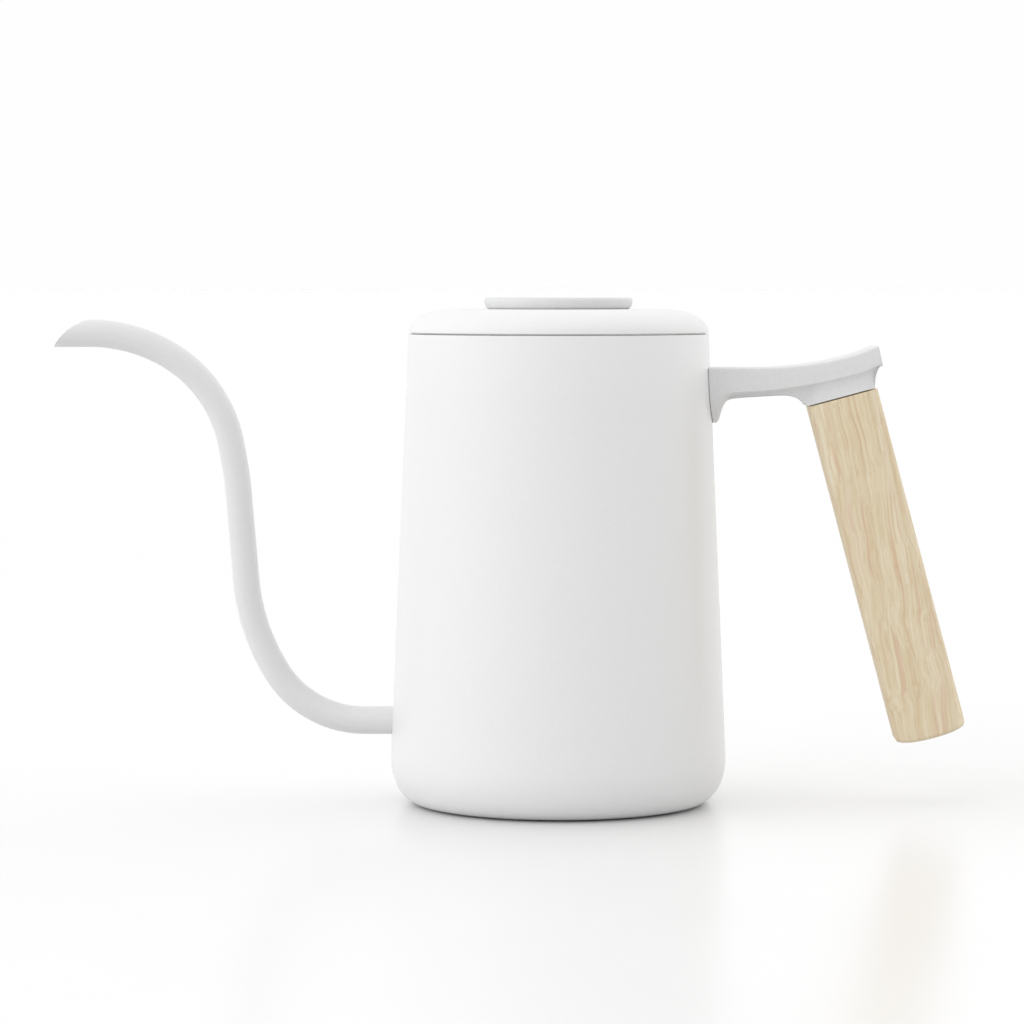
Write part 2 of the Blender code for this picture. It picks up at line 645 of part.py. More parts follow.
def lid_seal(finish):
    """A ring with two lips that bear on the neck and a waist between them."""
    top = SEAL_BOTTOM + SEAL_HEIGHT
    lip = SEAL_HEIGHT / 4
    waist = SEAL_OUTER - SEAL_WAIST
    profile = [
        (waist, top),
        (SEAL_OUTER, top - lip),
        (waist, top - 2 * lip),
        (SEAL_OUTER, SEAL_BOTTOM + lip),
        (waist, SEAL_BOTTOM),
        (SEAL_INNER, SEAL_BOTTOM),
        (SEAL_INNER, top),
    ]
    turned("lid_seal", profile, finish)


def knob_parts(knob_finish, pad_finish, steel):
    recess = KNOB_BOTTOM + KNOB_PAD_THICKNESS + GAP
    profile = [(0, KNOB_TOP)]
    profile += ellipse((KNOB_RADIUS - KNOB_EDGE, KNOB_TOP - KNOB_EDGE), KNOB_EDGE, KNOB_EDGE, 90, 0, 2)
    side = ellipse(
        (KNOB_FOOT_RADIUS, KNOB_TOP - KNOB_EDGE), KNOB_RADIUS - KNOB_FOOT_RADIUS,
        KNOB_THICKNESS - KNOB_EDGE, 0, -90, 3,
    )
    profile += side[1:]
    profile += [
        (KNOB_PAD_RADIUS + GAP, KNOB_BOTTOM),
        (KNOB_PAD_RADIUS + GAP, recess),
        (KNOB_STEM_RADIUS, recess),
        (KNOB_STEM_RADIUS, STEM_BOTTOM),
        (M4_HOLE, STEM_BOTTOM),
        (M4_HOLE, STEM_BOTTOM + KNOB_THREAD_DEPTH),
        (0, STEM_BOTTOM + KNOB_THREAD_DEPTH),
    ]
    turned("knob", profile, knob_finish, KNOB_STEPS, ring=False)
    pad = [
        (KNOB_PAD_RADIUS, KNOB_BOTTOM + KNOB_PAD_THICKNESS),
        (KNOB_PAD_RADIUS, KNOB_BOTTOM),
        (KNOB_STEM_RADIUS + GAP, KNOB_BOTTOM),
        (KNOB_STEM_RADIUS + GAP, KNOB_BOTTOM + KNOB_PAD_THICKNESS),
    ]
    turned("knob_pad", pad, pad_finish, KNOB_STEPS)
    seat = PLUG_BOTTOM - GAP - WASHER_THICKNESS
    flat = washer("knob_washer", WASHER_RADIUS, M4_HOLE, WASHER_THICKNESS, steel)
    flat.location = (0, 0, seat)
    bolt = screw("knob_screw", M4_RADIUS, KNOB_SCREW_LENGTH, M4_HEAD_RADIUS, M4_HEAD_HEIGHT, M4_SOCKET, steel)
    bolt.location = (0, 0, seat - GAP)


def vent_bush(finish):
    bush = washer("vent_bush", VENT_RADIUS, VENT_BORE, LID_TOP - PLUG_BOTTOM, finish)
    bush.location = (-VENT_OFFSET, 0, PLUG_BOTTOM)


# ---------------------------------------------------------------- build


def clear_scene():
    for leftover in list(bpy.data.objects):
        bpy.data.objects.remove(leftover)


def build():
    clear_scene()
    white = material("white_coat", (0.88, 0.88, 0.88), 0.35)
    grey = material("grey_cast_coat", (0.62, 0.62, 0.62), 0.5)
    tube = material("white_tube_coat", (0.8, 0.8, 0.8), 0.4)
    steel = material("stainless_steel", (0.6, 0.6, 0.6), 0.3, 1.0)
    aluminium = material("aluminium", (0.75, 0.76, 0.78), 0.4, 1.0)
    silicone = material("silicone", (0.75, 0.75, 0.74), 0.6)
    dark = material("dark_spacer", (0.09, 0.08, 0.07), 0.6)
    wood = material("pale_wood", (0.66, 0.54, 0.4), 0.55)

    body_shell(white)
    capsule_base(aluminium, steel)
    neck_ring(steel)
    spout_tube(tube)
    handle_bracket(grey)
    handle_gasket(dark)
    handle_screws(steel, silicone)
    grip_parts(wood, steel, dark)
    lid_shell(white)
    lid_liner(steel)
    lid_seal(silicone)
    knob_parts(grey, dark, steel)
    vent_bush(steel)


build()
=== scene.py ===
"""Looks of the gooseneck kettle: coated steel body and spout, cast handle arm, ash grip, plain pale set."""

import math

import bpy
from mathutils import Matrix, Vector


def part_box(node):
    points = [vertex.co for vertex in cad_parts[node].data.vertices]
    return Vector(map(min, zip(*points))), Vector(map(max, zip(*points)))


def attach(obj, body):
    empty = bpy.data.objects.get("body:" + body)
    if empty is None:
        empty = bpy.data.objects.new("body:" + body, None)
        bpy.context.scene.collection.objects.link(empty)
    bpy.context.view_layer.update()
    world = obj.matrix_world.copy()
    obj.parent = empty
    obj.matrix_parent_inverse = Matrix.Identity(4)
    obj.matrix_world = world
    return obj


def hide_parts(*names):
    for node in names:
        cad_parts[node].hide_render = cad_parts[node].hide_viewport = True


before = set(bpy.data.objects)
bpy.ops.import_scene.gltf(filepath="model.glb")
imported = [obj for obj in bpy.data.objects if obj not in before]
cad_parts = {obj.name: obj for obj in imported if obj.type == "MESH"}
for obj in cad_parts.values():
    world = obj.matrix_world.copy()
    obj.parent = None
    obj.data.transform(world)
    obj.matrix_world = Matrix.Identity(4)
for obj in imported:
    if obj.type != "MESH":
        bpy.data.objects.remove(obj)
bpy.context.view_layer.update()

MM = 0.001
WHOLE_TURN = 2 * math.pi


def low(node):
    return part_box(node)[0]


def high(node):
    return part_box(node)[1]


# ---------------------------------------------------------------- sizes of the real pieces

# Body
BASE_RADIUS = high("body_shell").y
FOOT = low("body_shell").z
RIM = high("body_shell").z
LID_EDGE = low("lid_shell").z
SEAM = (RIM + LID_EDGE) / 2
TOP_RADIUS = high("lid_shell").y
CORNER_WIDTH = 8 * MM
CORNER_HEIGHT = 13 * MM
WALL = 0.8 * MM
CAP_RADIUS = high("base_cap").y
CAP_HEIGHT = high("base_cap").z
RIM_ROUND = 0.18 * MM
SPOUT_HEIGHT = 23.5 * MM
SCREW_HEIGHT = (low("screw_washer_1").z + high("screw_washer_1").z) / 2
SCREW_OFFSET = 5 * MM
M4_RADIUS = 2 * MM
M5_RADIUS = 2.5 * MM
CLEARANCE = 0.3 * MM
MERGE = 0.002 * MM  # points closer than this are one point

# Spout tube
SPOUT_RADII = (4.0 * MM, 3.75 * MM, 3.95 * MM)  # root, middle, tip
SPOUT_WALL = 0.7 * MM
SPOUT_INSIDE = 1.0 * MM
SPOUT_STUB = 9.8 * MM
SPOUT_BENDS = (
    # radius and turn of each bend, or None and the length of a straight run
    (29.4 * MM, math.radians(-58.1)),
    (60.0 * MM, math.radians(-27.3)),
    (None, 23.0 * MM),
    (127.0 * MM, math.radians(7.8)),
    (37.0 * MM, math.radians(46.6)),
    (44.4 * MM, math.radians(31.0)),
)
SPOUT_TIP_RUN = 10.0 * MM
SPOUT_STEP = 1.1 * MM
TIP_CUT_RADIUS = 16.7 * MM
TIP_CUT_DROP = 12.2 * MM

# Grip
GRIP_TILT = math.radians(15)
GRIP_WIDTH = 20.4 * MM
GRIP_DEPTH = 17.0 * MM
GRIP_CORNER = 5.0 * MM
GRIP_CROWN = 49.0 * MM
GRIP_LENGTH = 99.6 * MM
GRIP_BOTTOM = -1.2 * MM - GRIP_LENGTH  # below the bracket's face, along the grip
COUNTERBORE_RADIUS = 5.5 * MM
COUNTERBORE_DEPTH = 14.0 * MM

# Lid
LID_ROUND = 12.8 * MM
VENT_RADIUS = 2.5 * MM
VENT_BORE = 1.5 * MM
VENT_PLACE = (low("vent_bush").x + high("vent_bush").x) / 2
KNOB_STEM_RADIUS = 4.5 * MM
KNOB_RECESS_RADIUS = 16.3 * MM
PAD_RADIUS = 16.0 * MM

# Fasteners: a head is its radius, height, dome and width of the key; a washer its outer and inner radius
# and its thickness
M4_HEAD_HEIGHT = 2.2 * MM
M4_HEAD = (4 * MM, M4_HEAD_HEIGHT, 1.2 * MM, 2.5 * MM)
M4_WASHER = (4.5 * MM, 2.2 * MM, 0.6 * MM)
M5_HEAD = (4.25 * MM, 5 * MM, 0.5 * MM, 4 * MM)
M5_WASHER = (5.2 * MM, 2.7 * MM, 0.6 * MM)

SIDES = 192
SMALL_SIDES = 48


def wall_radius(height):
    """Outer radius of the body's straight taper at a height."""
    share = (height - CORNER_HEIGHT) / (SEAM - CORNER_HEIGHT)
    return BASE_RADIUS + share * (TOP_RADIUS - BASE_RADIUS)


ARM_TOP = SEAM - 9.8 * MM
ARM_ROOT = wall_radius(ARM_TOP)
GRIP_TOP = Vector((ARM_ROOT + 37.5 * MM, 0, ARM_TOP - 8.1 * MM))
TO_GRIP = Matrix.Translation(GRIP_TOP) @ Matrix.Rotation(-GRIP_TILT, 4, "Y")

# ---------------------------------------------------------------- modelling by hand


def deselect():
    bpy.ops.object.select_all(action="DESELECT")


def take(piece):
    """Makes a piece the only one that the next steps act on."""
    deselect()
    piece.select_set(True)
    bpy.context.view_layer.objects.active = piece


def started(name):
    """The primitive that was just added, named, in edit mode."""
    made = bpy.context.object
    made.name = name
    made.data.name = name
    bpy.ops.object.mode_set(mode="EDIT")
    bpy.ops.mesh.select_mode(type="VERT")
    return made


def closed_up(piece, fold=35):
    """Ends edit mode: doubles merged, faces outwards, edges under the fold smooth, place in the mesh."""
    bpy.ops.mesh.select_all(action="SELECT")
    bpy.ops.mesh.remove_doubles(threshold=MERGE)
    bpy.ops.mesh.normals_make_consistent(inside=False)
    bpy.ops.object.mode_set(mode="OBJECT")
    take(piece)
    bpy.ops.object.transform_apply(location=True, rotation=True, scale=True)
    bpy.ops.object.shade_smooth_by_angle(angle=math.radians(fold))
    return piece


def quarter(centre, across, tall, first, last, steps=14):
    """Points on an ellipse from one angle to another, in degrees."""
    points = []
    for i in range(steps + 1):
        angle = math.radians(first + (last - first) * i / steps)
        points.append((centre[0] + across * math.cos(angle), centre[1] + tall * math.sin(angle)))
    return points


def rounded(corners, steps=4):
    """Corners (x, z) or (x, z, radius) as a line, each corner that has a radius turned on it."""
    line = []
    for i, corner in enumerate(corners):
        if len(corner) == 2:
            line.append(corner)
            continue
        at = Vector(corner[:2])
        before = (Vector(corners[i - 1][:2]) - at).normalized()
        after = (Vector(corners[(i + 1) % len(corners)][:2]) - at).normalized()
        half = before.angle(after) / 2
        centre = at + (before + after).normalized() * corner[2] / math.sin(half)
        reach = corner[2] / math.tan(half)
        spoke = at + before * reach - centre
        turn = math.pi - 2 * half
        if before.x * after.y - before.y * after.x > 0:
            turn = -turn
        for k in range(steps + 1):
            angle = turn * k / steps
            x = spoke.x * math.cos(angle) - spoke.y * math.sin(angle)
            y = spoke.x * math.sin(angle) + spoke.y * math.cos(angle)
            line.append((centre.x + x, centre.y + y))
    return line


def draw_line(name, points):
    """A line drawn point by point in the XZ plane, left in edit mode."""
    deselect()
    bpy.ops.mesh.primitive_plane_add(size=MM, location=(points[0][0], 0, points[0][1]))
    made = started(name)
    bpy.ops.mesh.merge(type="CENTER")
    for here, there in zip(points, points[1:]):
        step = (there[0] - here[0], 0, there[1] - here[1])
        bpy.ops.mesh.extrude_region_move(TRANSFORM_OT_translate={"value": step})
    return made


def turned(name, points, sides=SIDES, ring=False, fold=35):
    """A piece turned about the Z axis from its profile of (radius, height)."""
    line = list(points) + ([points[0]] if ring else [])
    made = draw_line(name, line)
    bpy.ops.mesh.select_all(action="SELECT")
    bpy.ops.mesh.spin(steps=sides, angle=WHOLE_TURN, center=(0, 0, 0), axis=(0, 0, 1))
    return closed_up(made, fold)


def put(piece, matrix):
    """Moves a finished piece, with its place kept in its mesh."""
    piece.data.transform(matrix)
    piece.data.update()
    return piece


def use(piece, kind, **settings):
    """Adds a modifier with its settings and applies it."""
    take(piece)
    step = piece.modifiers.new(kind.lower(), kind)
    for key, value in settings.items():
        setattr(step, key, value)
    bpy.ops.object.modifier_apply(modifier=step.name)


def cut(piece, tool, operation="DIFFERENCE"):
    """Cuts or trims a piece by a tool, which is then thrown away."""
    use(piece, "BOOLEAN", operation=operation, solver="EXACT", object=tool)
    bpy.data.objects.remove(tool)


def rod(name, radius, start, end, sides=SMALL_SIDES):
    """A plain round tool between two heights, for cutting."""
    deselect()
    bpy.ops.mesh.primitive_cylinder_add(
        vertices=sides, radius=radius, depth=end - start, location=(0, 0, (start + end) / 2)
    )
    made = started(name)
    bpy.ops.object.mode_set(mode="OBJECT")
    bpy.ops.object.transform_apply(location=True, rotation=True, scale=True)
    return made


def smooth(piece, fold=35):
    take(piece)
    bpy.ops.object.shade_smooth_by_angle(angle=math.radians(fold))


def along_x(x, y, z):
    """From upright to lying along X at a place."""
    return Matrix.Translation((x, y, z)) @ Matrix.Rotation(math.pi / 2, 4, "Y")


# ---------------------------------------------------------------- materials


def linear(code):
    """An sRGB hex colour as linear RGBA."""
    values = [int(code[i : i + 2], 16) / 255 for i in (1, 3, 5)]
    return (*[v / 12.92 if v <= 0.04045 else ((v + 0.055) / 1.055) ** 2.4 for v in values], 1)


def add(tree, kind, sockets=None, stops=(), **settings):
    """Adds a node and gives its outputs. A socket takes a value, or a link from another node's output."""
    made = tree.nodes.new(kind)
    for key, value in settings.items():
        setattr(made, key, value)
    for i, (place, colour) in enumerate(stops):
        element = made.color_ramp.elements[i] if i < 2 else made.color_ramp.elements.new(place)
        element.position = place
        element.color = linear(colour)
    for key, value in (sockets or {}).items():
        if isinstance(value, bpy.types.NodeSocket):
            tree.links.new(value, made.inputs[key])
        else:
            made.inputs[key].default_value = value
    return made.outputs


# Places of the colour Mix node's sockets, whose names are shared by its other kinds.
SHARE, FIRST, SECOND, RESULT = 0, 6, 7, 2


def new_finish(name, **sockets):
    """A material's tree and shader, with the values that are the same all over it."""
    made = bpy.data.materials.new(name)
    made.use_nodes = True
    tree = made.node_tree
    shader = tree.nodes["Principled BSDF"]
    for key, value in sockets.items():
        shader.inputs[key.replace("_", " ")].default_value = value
    return made, tree, shader


def per(size):
    """A texture scale whose features are about this large."""
    return 1 / size


def drawn_out(size, length):
    """A texture scale whose features are this large across and this long along Z."""
    return (per(size), per(size), per(length))


def finished(tree, shader, colour, pattern, gloss, spread, height, depth):
    """Links a finish's colour, its roughness and a relief of this depth in metres to its shader.

    The roughness follows a pattern, by this spread to either side of the gloss.
    """
    limits = {"From Min": 0.3, "From Max": 0.7, "To Min": gloss - spread, "To Max": gloss + spread}
    roughness = add(tree, "ShaderNodeMapRange", {"Value": pattern, **limits})["Result"]
    relief = add(tree, "ShaderNodeBump", {"Height": height, "Distance": depth, "Strength": 1.0})
    tree.links.new(colour, shader.inputs["Base Color"])
    tree.links.new(roughness, shader.inputs["Roughness"])
    tree.links.new(relief["Normal"], shader.inputs["Normal"])


def powder_coat(name, pale, dark, gloss):
    """Powder coat, sprayed and baked on: satin, brighter at a glance, with faint orange peel and grain."""
    made, tree, shader = new_finish(name, IOR=1.5, Coat_Weight=0.5, Coat_Roughness=0.3, Coat_IOR=1.5)
    where = add(tree, "ShaderNodeTexCoord")["Object"]
    peel = add(tree, "ShaderNodeTexNoise", {"Vector": where, "Scale": per(1.4 * MM), "Detail": 1.0})["Fac"]
    grain = {"Vector": where, "Scale": per(0.4 * MM), "Detail": 3.0, "Roughness": 0.6}
    fine = add(tree, "ShaderNodeTexNoise", grain)["Fac"]
    drift = add(tree, "ShaderNodeTexNoise", {"Vector": where, "Scale": per(30 * MM), "Detail": 2.0})["Fac"]
    colour = add(tree, "ShaderNodeValToRGB", {"Fac": fine}, [(0.3, dark), (0.7, pale)])["Color"]
    height = add(tree, "ShaderNodeMix", {SHARE: 0.3, FIRST: peel, SECOND: fine}, data_type="RGBA")[RESULT]
    finished(tree, shader, colour, drift, gloss, 0.03, height, 0.007 * MM)
    return made


def sanded_coat(name, pale, dark, grit, contrast, gloss, depth):
    """Textured coat over a casting: matt, with a sandy grit that breaks up the light."""
    made, tree, shader = new_finish(name, IOR=1.5)
    where = add(tree, "ShaderNodeTexCoord")["Object"]
    grains = {"Vector": where, "Scale": per(grit), "Detail": 3.0, "Roughness": 0.65}
    sand = add(tree, "ShaderNodeTexNoise", grains)["Fac"]
    clumps = {"Vector": where, "Scale": per(4 * grit), "Detail": 2.0}
    coarse = add(tree, "ShaderNodeTexNoise", clumps)["Fac"]
    mixed = add(tree, "ShaderNodeMix", {SHARE: 0.25, FIRST: sand, SECOND: coarse}, data_type="RGBA")[RESULT]
    stops = [(0.5 - contrast, dark), (0.5 + contrast, pale)]
    colour = add(tree, "ShaderNodeValToRGB", {"Fac": mixed}, stops)["Color"]
    finished(tree, shader, colour, coarse, gloss, 0.05, sand, depth)
    return made


def turned_metal(name, pale, dark, gloss, metal=1.0):
    """Metal brushed on a lathe: fine lines that run round the axis and stretch the light across them."""
    made, tree, shader = new_finish(name, Metallic=metal)
    where = add(tree, "ShaderNodeTexCoord")["Object"]
    parts = add(tree, "ShaderNodeSeparateXYZ", {"Vector": where})
    flat = add(tree, "ShaderNodeCombineXYZ", {"X": parts["X"], "Y": parts["Y"]})["Vector"]
    radius = add(tree, "ShaderNodeVectorMath", {0: flat}, operation="LENGTH")["Value"]
    # Real brushing is finer: the lines are drawn 0.22 mm apart and 30 mm long, so that they show.
    scaled = {"X": radius, "Y": parts["Y"], "Z": parts["Z"]}
    spread = add(tree, "ShaderNodeCombineXYZ", scaled)["Vector"]
    line = (per(0.22 * MM), per(30 * MM), per(0.22 * MM))
    spread = add(tree, "ShaderNodeMapping", {"Vector": spread, "Scale": line})["Vector"]
    scratches = {"Vector": spread, "Scale": 1.0, "Detail": 3.0, "Roughness": 0.6}
    lines = add(tree, "ShaderNodeTexNoise", scratches)["Fac"]
    patches = {"Vector": where, "Scale": per(14 * MM), "Detail": 3.0}
    smear = add(tree, "ShaderNodeTexNoise", patches)["Fac"]
    colour = add(tree, "ShaderNodeValToRGB", {"Fac": lines}, [(0.3, dark), (0.7, pale)])["Color"]
    both = add(tree, "ShaderNodeMix", {SHARE: 0.5, FIRST: lines, SECOND: smear}, data_type="RGBA")[RESULT]
    finished(tree, shader, colour, both, gloss, 0.08, lines, 0.004 * MM)
    return made


def marked(name, pale, dark, gloss, grit, depth, **sockets):
    """A plain finish with fine marks of one size in its colour, its shine and its relief."""
    made, tree, shader = new_finish(name, **sockets)
    where = add(tree, "ShaderNodeTexCoord")["Object"]
    specks = {"Vector": where, "Scale": per(grit), "Detail": 3.0, "Roughness": 0.6}
    marks = add(tree, "ShaderNodeTexNoise", specks)["Fac"]
    colour = add(tree, "ShaderNodeValToRGB", {"Fac": marks}, [(0.3, dark), (0.7, pale)])["Color"]
    finished(tree, shader, colour, marks, gloss, 0.05, marks, depth)
    return made


WOOD_BASE = ("#e5d2b1", "#ecddbe", "#f2e6cb")
WOOD_MARKS = (
    # mark, where it starts and is full, its strength there, its colour
    ("streaks", 0.52, 0.74, 0.5, "#d4b48a"),
    ("streaks", 0.45, 0.28, 0.5, "#f6eedb"),
    ("blush", 0.58, 0.72, 0.45, "#dcb298"),
    ("hairs", 0.40, 0.70, 0.4, "#d6bb8f"),
    ("pores", 0.68, 0.76, 0.4, "#bda27c"),
)


def ash_wood(name):
    """Ash, sanded and oiled: pale growth bands, brown and pinkish streaks, fine open pores along the grain."""
    made, tree, shader = new_finish(name, IOR=1.45)
    lean = math.radians(6)  # the grain runs a little off the grip's length
    where = add(tree, "ShaderNodeTexCoord")["Object"]
    centred = add(tree, "ShaderNodeVectorMath", {0: where, 1: GRIP_TOP}, operation="SUBTRACT")["Vector"]
    turn = {"Vector": centred, "Rotation": (0, GRIP_TILT - lean, 0)}
    upright = add(tree, "ShaderNodeMapping", turn)["Vector"]
    waves = {"Vector": upright, "Scale": per(22 * MM), "Detail": 2.0}
    sway = add(tree, "ShaderNodeTexNoise", waves)["Color"]
    even = add(tree, "ShaderNodeVectorMath", {0: sway, 1: (0.5, 0.5, 0.5)}, operation="SUBTRACT")["Vector"]
    share = {0: even, 1: (5 * MM, 5 * MM, 0)}
    push = add(tree, "ShaderNodeVectorMath", share, operation="MULTIPLY")["Vector"]
    fibres = add(tree, "ShaderNodeVectorMath", {0: upright, 1: push}, operation="ADD")["Vector"]
    marks = {}
    for mark, across, length, detail in (
        ("bands", 2.6 * MM, 120 * MM, 3.0),
        ("streaks", 0.8 * MM, 60 * MM, 2.0),
        ("hairs", 0.42 * MM, 24 * MM, 2.0),
        ("pores", 0.24 * MM, 3.2 * MM, 1.0),
        ("blush", 1.6 * MM, 70 * MM, 1.0),
    ):
        along_grain = {"Vector": fibres, "Scale": drawn_out(across, length)}
        spread = add(tree, "ShaderNodeMapping", along_grain)["Vector"]
        noise = {"Vector": spread, "Scale": 1.0, "Detail": detail}
        marks[mark] = add(tree, "ShaderNodeTexNoise", noise)["Fac"]
    stops = [(0.3, WOOD_BASE[0]), (0.5, WOOD_BASE[1]), (0.7, WOOD_BASE[2])]
    colour = add(tree, "ShaderNodeValToRGB", {"Fac": marks["bands"]}, stops)["Color"]
    for mark, start, end, most, tint in WOOD_MARKS:
        limits = {"Value": marks[mark], "From Min": start, "From Max": end, "To Min": 0.0, "To Max": most}
        share = add(tree, "ShaderNodeMapRange", limits)["Result"]
        layer = {SHARE: share, FIRST: colour, SECOND: linear(tint)}
        colour = add(tree, "ShaderNodeMix", layer, data_type="RGBA")[RESULT]
    hairs = marks["hairs"]
    open_pores = {"Value": marks["pores"], "From Min": 0.6, "From Max": 0.75, "To Min": 1.0, "To Max": 0.0}
    height = add(tree, "ShaderNodeMapRange", open_pores)["Result"]
    layer = {SHARE: 0.4, FIRST: height, SECOND: hairs}
    height = add(tree, "ShaderNodeMix", layer, data_type="RGBA")[RESULT]
    finished(tree, shader, colour, hairs, 0.56, 0.06, height, 0.02 * MM)
    return made


WHITE = powder_coat("satin_white_powder_coat", "#f2f2f2", "#ededed", 0.38)
# The tube has the body's white coat, painted a little greyer: painted shade for the dimmer light on the tube.
TUBE_WHITE = powder_coat("white_powder_coat_on_tube", "#e8e8e8", "#e3e3e3", 0.4)
CAST = sanded_coat("sandy_grey_coat_on_cast_zinc", "#eaeaea", "#dedede", 0.35 * MM, 0.16, 0.5, 0.012 * MM)
KNOB = sanded_coat("blasted_grey_coat_on_zinc", "#e5e5e5", "#dadada", 0.5 * MM, 0.2, 0.5, 0.003 * MM)
STEEL = turned_metal("brushed_stainless_steel", "#d2d1ce", "#bdbcb9", 0.3)
# Inside, the steel is pickled after drawing, which leaves it dull and paler.
INSIDE = turned_metal("pickled_stainless_steel", "#dddcd9", "#cccbc8", 0.42, 0.7)
# Small steel hardware, tumbled clean: an even grey shine with fine marks.
HARDWARE = marked("tumbled_stainless_steel", "#cfcecb", "#b4b3b0", 0.28, 0.3 * MM, 0.003 * MM, Metallic=1.0)
# Rolled sheet: paler and duller than steel.
ALUMINIUM = marked("rolled_aluminium", "#dcddde", "#c9cacb", 0.4, 0.6 * MM, 0.003 * MM, Metallic=1.0)
# Moulded rubbers: dull, with a soft tooth.
SILICONE = marked("moulded_silicone", "#dedcd6", "#d4d2cb", 0.5, 0.25 * MM, 0.01 * MM, IOR=1.43)
# Rubber spacers and pads in the joints. Their dark colour is partly their own rubber and partly painted shade
# for the shadow lines of the joints.
SPACER = marked("dark_rubber_spacer", "#4a4038", "#3a322b", 0.6, 0.25 * MM, 0.01 * MM, IOR=1.5)
ASH = ash_wood("oiled_ash")


def dress(piece, *finishes):
    piece.data.materials.clear()
    for finish in finishes:
        piece.data.materials.append(finish)


def stand_for(piece, node, body, slot, *finishes):
    """Gives a piece its finish and its body and hides the CAD node that it stands for. The slot is not used.
    """
    dress(piece, *finishes)
    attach(piece, body)
    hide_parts(node)


# ---------------------------------------------------------------- body and base


def body():
    corner = (BASE_RADIUS - CORNER_WIDTH, CORNER_HEIGHT)
    recess = CAP_RADIUS + CLEARANCE
    roof = CAP_HEIGHT + 2 * CLEARANCE
    floor = roof + WALL
    edge = recess + WALL
    rim = [
        (wall_radius(RIM) - WALL, RIM, RIM_ROUND),
        (wall_radius(RIM), RIM, RIM_ROUND),
    ]
    bottom_turn = [(recess, FOOT, 0.3 * MM), (recess, roof, 0.5 * MM), (0, roof)]
    inside = [(0, floor), (edge - 1.2 * MM, floor), (edge, floor - 0.8 * MM)]
    inside += [(edge, FOOT + WALL + 0.4 * MM)]
    inside += quarter(corner, CORNER_WIDTH - WALL, CORNER_HEIGHT - FOOT - WALL, -90, 0)[1:]
    levels = [116 * MM, 108 * MM, 90 * MM, 70 * MM, 50 * MM, 30 * MM, 17 * MM]
    outside = [(wall_radius(z), z) for z in levels]
    outside += quarter(corner, CORNER_WIDTH, CORNER_HEIGHT - FOOT, 0, -90)
    shell = turned("body_shell_coated", rounded(inside + rim + outside + bottom_turn))
    hole = rod("hole", SPOUT_RADII[0] - 0.04 * MM, -BASE_RADIUS / 2, BASE_RADIUS / 2, 64)
    cut(shell, put(hole, along_x(-BASE_RADIUS, 0, SPOUT_HEIGHT)))
    for side in (-1, 1):
        hole = rod("hole", M4_RADIUS + CLEARANCE, -BASE_RADIUS / 2, BASE_RADIUS / 2)
        cut(shell, put(hole, along_x(ARM_ROOT, side * SCREW_OFFSET, SCREW_HEIGHT)))
    smooth(shell)
    stand_for(shell, "body_shell", "kettle", "white_coat", WHITE, INSIDE)
    # The inside and the recess under the floor are left bare.
    for face in shell.data.polygons:
        spot = face.center
        out = math.hypot(spot.x, spot.y)
        if spot.z > CORNER_HEIGHT:
            inner = out < wall_radius(spot.z) - WALL / 2
        else:
            faces_up = spot.z > floor - 1.2 * MM and face.normal.z > 0.05
            faces_axis = face.normal.x * spot.x + face.normal.y * spot.y < 0
            inner = faces_up or (spot.z > FOOT + WALL / 2 and faces_axis)
        under = spot.z < floor and out < recess - 0.2 * MM
        if inner or under:
            face.material_index = 1


def base_cap():
    wall = 0.5 * MM
    profile = rounded([
        (0, wall),
        (CAP_RADIUS - wall, wall, 0.3 * MM),
        (CAP_RADIUS - wall, CAP_HEIGHT),
        (CAP_RADIUS, CAP_HEIGHT),
        (CAP_RADIUS, 0, 0.9 * MM),
        (CAP_RADIUS - 4 * MM, 0, 0.4 * MM),
        (CAP_RADIUS - 4.6 * MM, 0.18 * MM, 0.4 * MM),
        (CAP_RADIUS - 12 * MM, 0.18 * MM, 0.4 * MM),
        (CAP_RADIUS - 12.6 * MM, 0, 0.4 * MM),
        (0, 0),
    ])
    stand_for(turned("base_cap_pressed", profile), "base_cap", "kettle", "stainless_steel", STEEL)


def neck_ring():
    outer = high("neck_ring").y
    ledge = high("neck_ring").z
    under = low("neck_ring").z
    neck = high("lid_seal").y + CLEARANCE
    profile = rounded([
        (outer, ledge, 0.7 * MM),
        (outer, ledge - 3 * MM),
        (outer - WALL + 0.1 * MM, ledge - 3 * MM),
        (outer - WALL + 0.1 * MM, ledge - WALL, 0.2 * MM),
        (neck + WALL, ledge - WALL, 0.3 * MM),
        (neck + WALL, under),
        (neck, under, 0.3 * MM),
        (neck, ledge, 0.9 * MM),
    ])
    ring = turned("neck_ring_pressed", profile, ring=True)
    stand_for(ring, "neck_ring", "kettle", "stainless_steel", STEEL)


body()
base_cap()
neck_ring()

# ---------------------------------------------------------------- spout


def spout_course():
    """Stations (x, z, heading) along the tube, from inside the wall to past the tip's cut."""
    x = -wall_radius(SPOUT_HEIGHT) + WALL + SPOUT_INSIDE
    z = SPOUT_HEIGHT
    heading = math.pi
    stations = [(x, z, heading)]
    runs = [(None, SPOUT_STUB), *SPOUT_BENDS, (None, SPOUT_TIP_RUN + SPOUT_RADII[2])]
    for radius, amount in runs:
        length = amount if radius is None else radius * abs(amount)
        steps = math.ceil(length / SPOUT_STEP)
        for _ in range(steps):
            turn = 0 if radius is None else amount / steps
            x += length / steps * math.cos(heading + turn / 2)
            z += length / steps * math.sin(heading + turn / 2)
            heading += turn
            stations.append((x, z, heading))
    return stations


